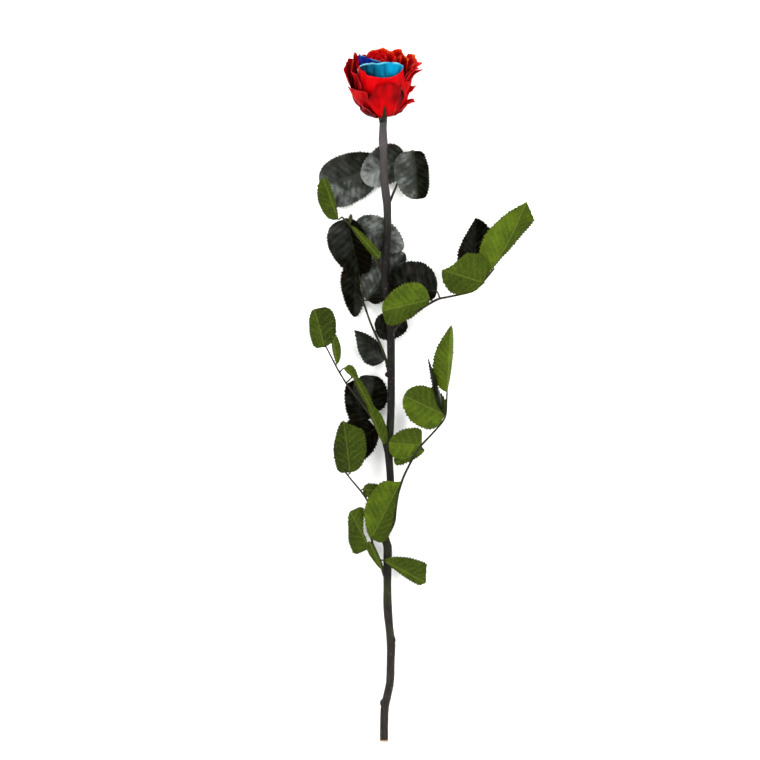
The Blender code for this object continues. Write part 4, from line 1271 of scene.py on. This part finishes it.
def wiry_leaf_stalk():
    """The leaves' own stalks: thin and woody, brown-black with a green side."""
    material, tree, shader = new_finish("wiry_leaf_stalk", 0.5, 0.08)
    spot = add(tree, "ShaderNodeTexCoord").outputs["Object"]
    broad, fine = patchy(tree, spot, 14), patchy(tree, spot, 1.2, 3)
    base = dyed(tree, colour("#18140E"), ("#343A16", broad.share(0.45, 0.65) * 0.45),
                ("#4A3320", fine.share(0.55, 0.75) * 0.4))
    finished(tree, shader, base, fine, 0.15)
    return material


def dyed_petal(name, body, deep_dye_and_shade, faded_and_highlit, gilt=None):
    """Preserved petal tissue: velvety and matt, with fine veins that fan out to the rim, painted
    shade in the folds, below the rim and towards the side edges, and pale along its edges,
    partly thin dye and partly a painted highlight."""
    material, tree, shader = new_finish(name, 0.6, 0.03)
    edge, side, gold, shade = read(tree, "edge", "side", "gold", "shade")
    depth, pale = read(tree, "depth", "pale")
    spot = add(tree, "ShaderNodeUVMap", uv_map="UVMap").outputs[0]
    drawn = add(tree, "ShaderNodeMapping", {"Vector": spot, "Scale": (1.0, 0.12, 1.0)})
    veins, cloud = patchy(tree, drawn.outputs[0], 0.9, 3), patchy(tree, spot, 8)
    # painted shade: the petal's shade, more below the rim by depth and towards its side edges,
    # with the dye's own cloudy and veined unevenness
    below = (1.0 - edge).share(0.0, 0.45) * depth
    dark = shade + below + (cloud - 0.53) * 0.6 + (veins - 0.5) * 0.2
    dark = dark + side ** 2.0 * 0.25
    # a pale rim: partly thin dye, partly a painted highlight
    rim = edge.share(0.965, 1.0).at_least(side.share(0.965, 1.0))
    base = dyed(tree, colour(body), (deep_dye_and_shade, dark.share(0.0, 1.0)),
                (faded_and_highlit, rim * cloud.share(0.4, 0.6) * pale))
    if gilt:
        worn = edge + (veins - 0.5) * 0.3 + (cloud - 0.5) * 0.2
        base = dyed(tree, base, (gilt[0], worn.share(0.94, 1.05) * gold),
                    (gilt[1], worn.share(1.0, 1.1) * gold))
    finished(tree, shader, base, veins + cloud * 0.5, 0.25)
    return material


def dyed_red_petal():
    """Blood red, painted nearly black where the folds are shaded, with orange and gold worn into
    some rims.
    """
    return dyed_petal("dyed_red_petal", "#A60004", "#240002", "#D84858",
                      ("#D84408", "#E8A820"))


def dyed_cyan_petal():
    """Clear cyan, painted dark where the folds are shaded, and pale along the edges, partly thin
    dye and partly a painted highlight.
    """
    return dyed_petal("dyed_cyan_petal", "#00789E", "#001E2C", "#80D0E8")


def dyed_navy_petal():
    """Ink blue, with a thin edge of lighter blue, partly thin dye and partly a painted highlight.
    """
    return dyed_petal("dyed_navy_petal", "#021260", "#000420", "#2A8CAC")


def leathery_calyx():
    """Sepals and receptacle: leathery dark green, browned at the tips, with fine down."""
    material, tree, shader = new_finish("leathery_calyx", 0.6, 0.12)
    spot = add(tree, "ShaderNodeTexCoord").outputs["Object"]
    broad, fine = patchy(tree, spot, 5), patchy(tree, spot, 0.7, 3)
    base = dyed(tree, colour("#0C1005"), ("#222A0E", broad.share(0.4, 0.65) * 0.7),
                ("#2A1A0C", fine.share(0.52, 0.7) * 0.45))
    finished(tree, shader, base, fine, 0.2)
    return material


def ridged_bark():
    """Dried rose bark: brown-black, drawn out in fine lengthwise ridges, with a painted grey sheen
    on the high ones and near the flower, blacker halfway, a green-tinted stretch low down, pale
    corky pores, and pale wood where it is cut."""
    material, tree, shader = new_finish("ridged_bark", 0.45, 0.08)
    (pore,) = read(tree, "pore")
    spot = add(tree, "ShaderNodeTexCoord").outputs["Object"]
    drawn = add(tree, "ShaderNodeMapping", {"Vector": spot, "Scale": (1.0, 0.08, 1.0)})
    ridges, broad = patchy(tree, drawn.outputs[0], 0.7, 4), patchy(tree, spot, 22)
    fine = patchy(tree, spot, 1.1, 3)
    y = Number(tree, add(tree, "ShaderNodeSeparateXYZ", {0: spot}).outputs[1])
    top = y.share(*map(picture_line, GREY_TOP))
    foot = y.share(*map(picture_line, PALE_FOOT))
    green = 1.0 - (abs(y - picture_line(GREEN_STRETCH)) / (GREEN_REACH * MM)).at_most(1.0)
    cut = (fine * MM - y + picture_line(CUT_END)).share(0.0, CUT_EDGE * MM)
    # the grey near the flower and on the high ridges is a painted sheen
    base = dyed(tree, colour("#060504"), ("#4A464A", top * 0.7), ("#1E1A16", foot * 0.5),
                ("#443C3C", ridges.share(0.42, 0.72) * (top * 0.7 + foot * 0.35 + 0.12)),
                ("#2A300F", green * 0.6), ("#20240F", broad.share(0.5, 0.66) * 0.4),
                ("#40281F", fine.share(0.6, 0.75) * 0.35), ("#6A5C4C", pore * 0.7),
                ("#8A7350", cut))
    finished(tree, shader, base, ridges + fine * 0.4, 0.3)
    return material


def pale_matt_floor():
    """A sheet of matt white card, with the faintest unevenness in its tone."""
    material, tree, shader = new_finish("pale_matt_floor", 0.9, 0.1)
    spot = add(tree, "ShaderNodeTexCoord").outputs["Object"]
    base = dyed(tree, colour("#FCFCFA"), ("#F8F8F6", patchy(tree, spot, 300)))
    tree.links.new(base, shader.inputs["Base Color"])
    return material


# Stage

def studio_light():
    """A broad ring of light, so strong that the floor's shadows fade, with a dark middle, so
    that flat blades stay dark, pale walls and three soft boxes."""
    world = bpy.data.worlds.new("studio")
    bpy.context.scene.world = world
    world.use_nodes = True
    tree = world.node_tree
    direction = add(tree, "ShaderNodeTexCoord").outputs["Generated"]
    parts = add(tree, "ShaderNodeSeparateXYZ", {0: direction})
    height = Number(tree, parts.outputs[2])
    wall = tree.nodes["Background"]
    wall.inputs["Color"].default_value = (1, 1, 1, 1)
    ring = height.share(*RING_OUTER) * (RING_LIGHT - WALL_LIGHT)
    middle = height.share(*RING_INNER) * (RING_LIGHT - CEILING_LIGHT)
    strength = ring - middle + WALL_LIGHT
    tree.links.new(strength.socket, wall.inputs["Strength"])
    for name, spot, side, power in SOFT_BOXES:
        lamp = bpy.data.lights.new(name, "AREA")
        lamp.shape = "SQUARE"
        lamp.size = side
        lamp.energy = power
        thing = bpy.data.objects.new(name, lamp)
        thing.visible_camera = False
        thing.location = spot
        thing.rotation_euler = (-Vector(spot)).to_track_quat("-Z", "Y").to_euler()
        bpy.context.scene.collection.objects.link(thing)


def floor():
    """The card that the flower lies on."""
    bpy.ops.mesh.primitive_plane_add(size=FLOOR_SIDE)
    sheet = bpy.context.active_object
    sheet.name = "floor"
    sheet.data.materials.append(pale_matt_floor())


def camera():
    """A long lens straight above the flower."""
    eye = bpy.data.objects.new("camera", bpy.data.cameras.new("camera"))
    middle = place(*VIEW_CENTRE, FOCUS_HEIGHT)
    eye.location = (middle.x, middle.y, CAMERA_HEIGHT)
    eye.data.sensor_width = SENSOR
    eye.data.lens = SENSOR * (CAMERA_HEIGHT - middle.z) / (PICTURE_SIDE * UNIT)
    bpy.context.scene.collection.objects.link(eye)
    bpy.context.scene.camera = eye
    bpy.context.scene.view_settings.view_transform = "Standard"


def main():
    camera()
    studio_light()
    floor()
    shoot, blade, wrap = twig_tree(), leaflet_tree(), petal_tree()
    tissues = (matt_leaf_underside(), waxy_leaf_face(), wiry_leaf_stalk())
    for index, leaf in enumerate(LEAVES):
        compound_leaf(leaf, blade, shoot, tissues, SEEDS_PER_LEAF * index)
    red_petals(wrap, dyed_red_petal())
    blue_petal(wrap, "cyan", CYAN_PETAL, CYAN_SEED, dyed_cyan_petal())
    blue_petal(wrap, "navy", NAVY_PETAL, NAVY_SEED, dyed_navy_petal())
    calyx(wrap, leathery_calyx())
    stem(shoot, ridged_bark())


main()
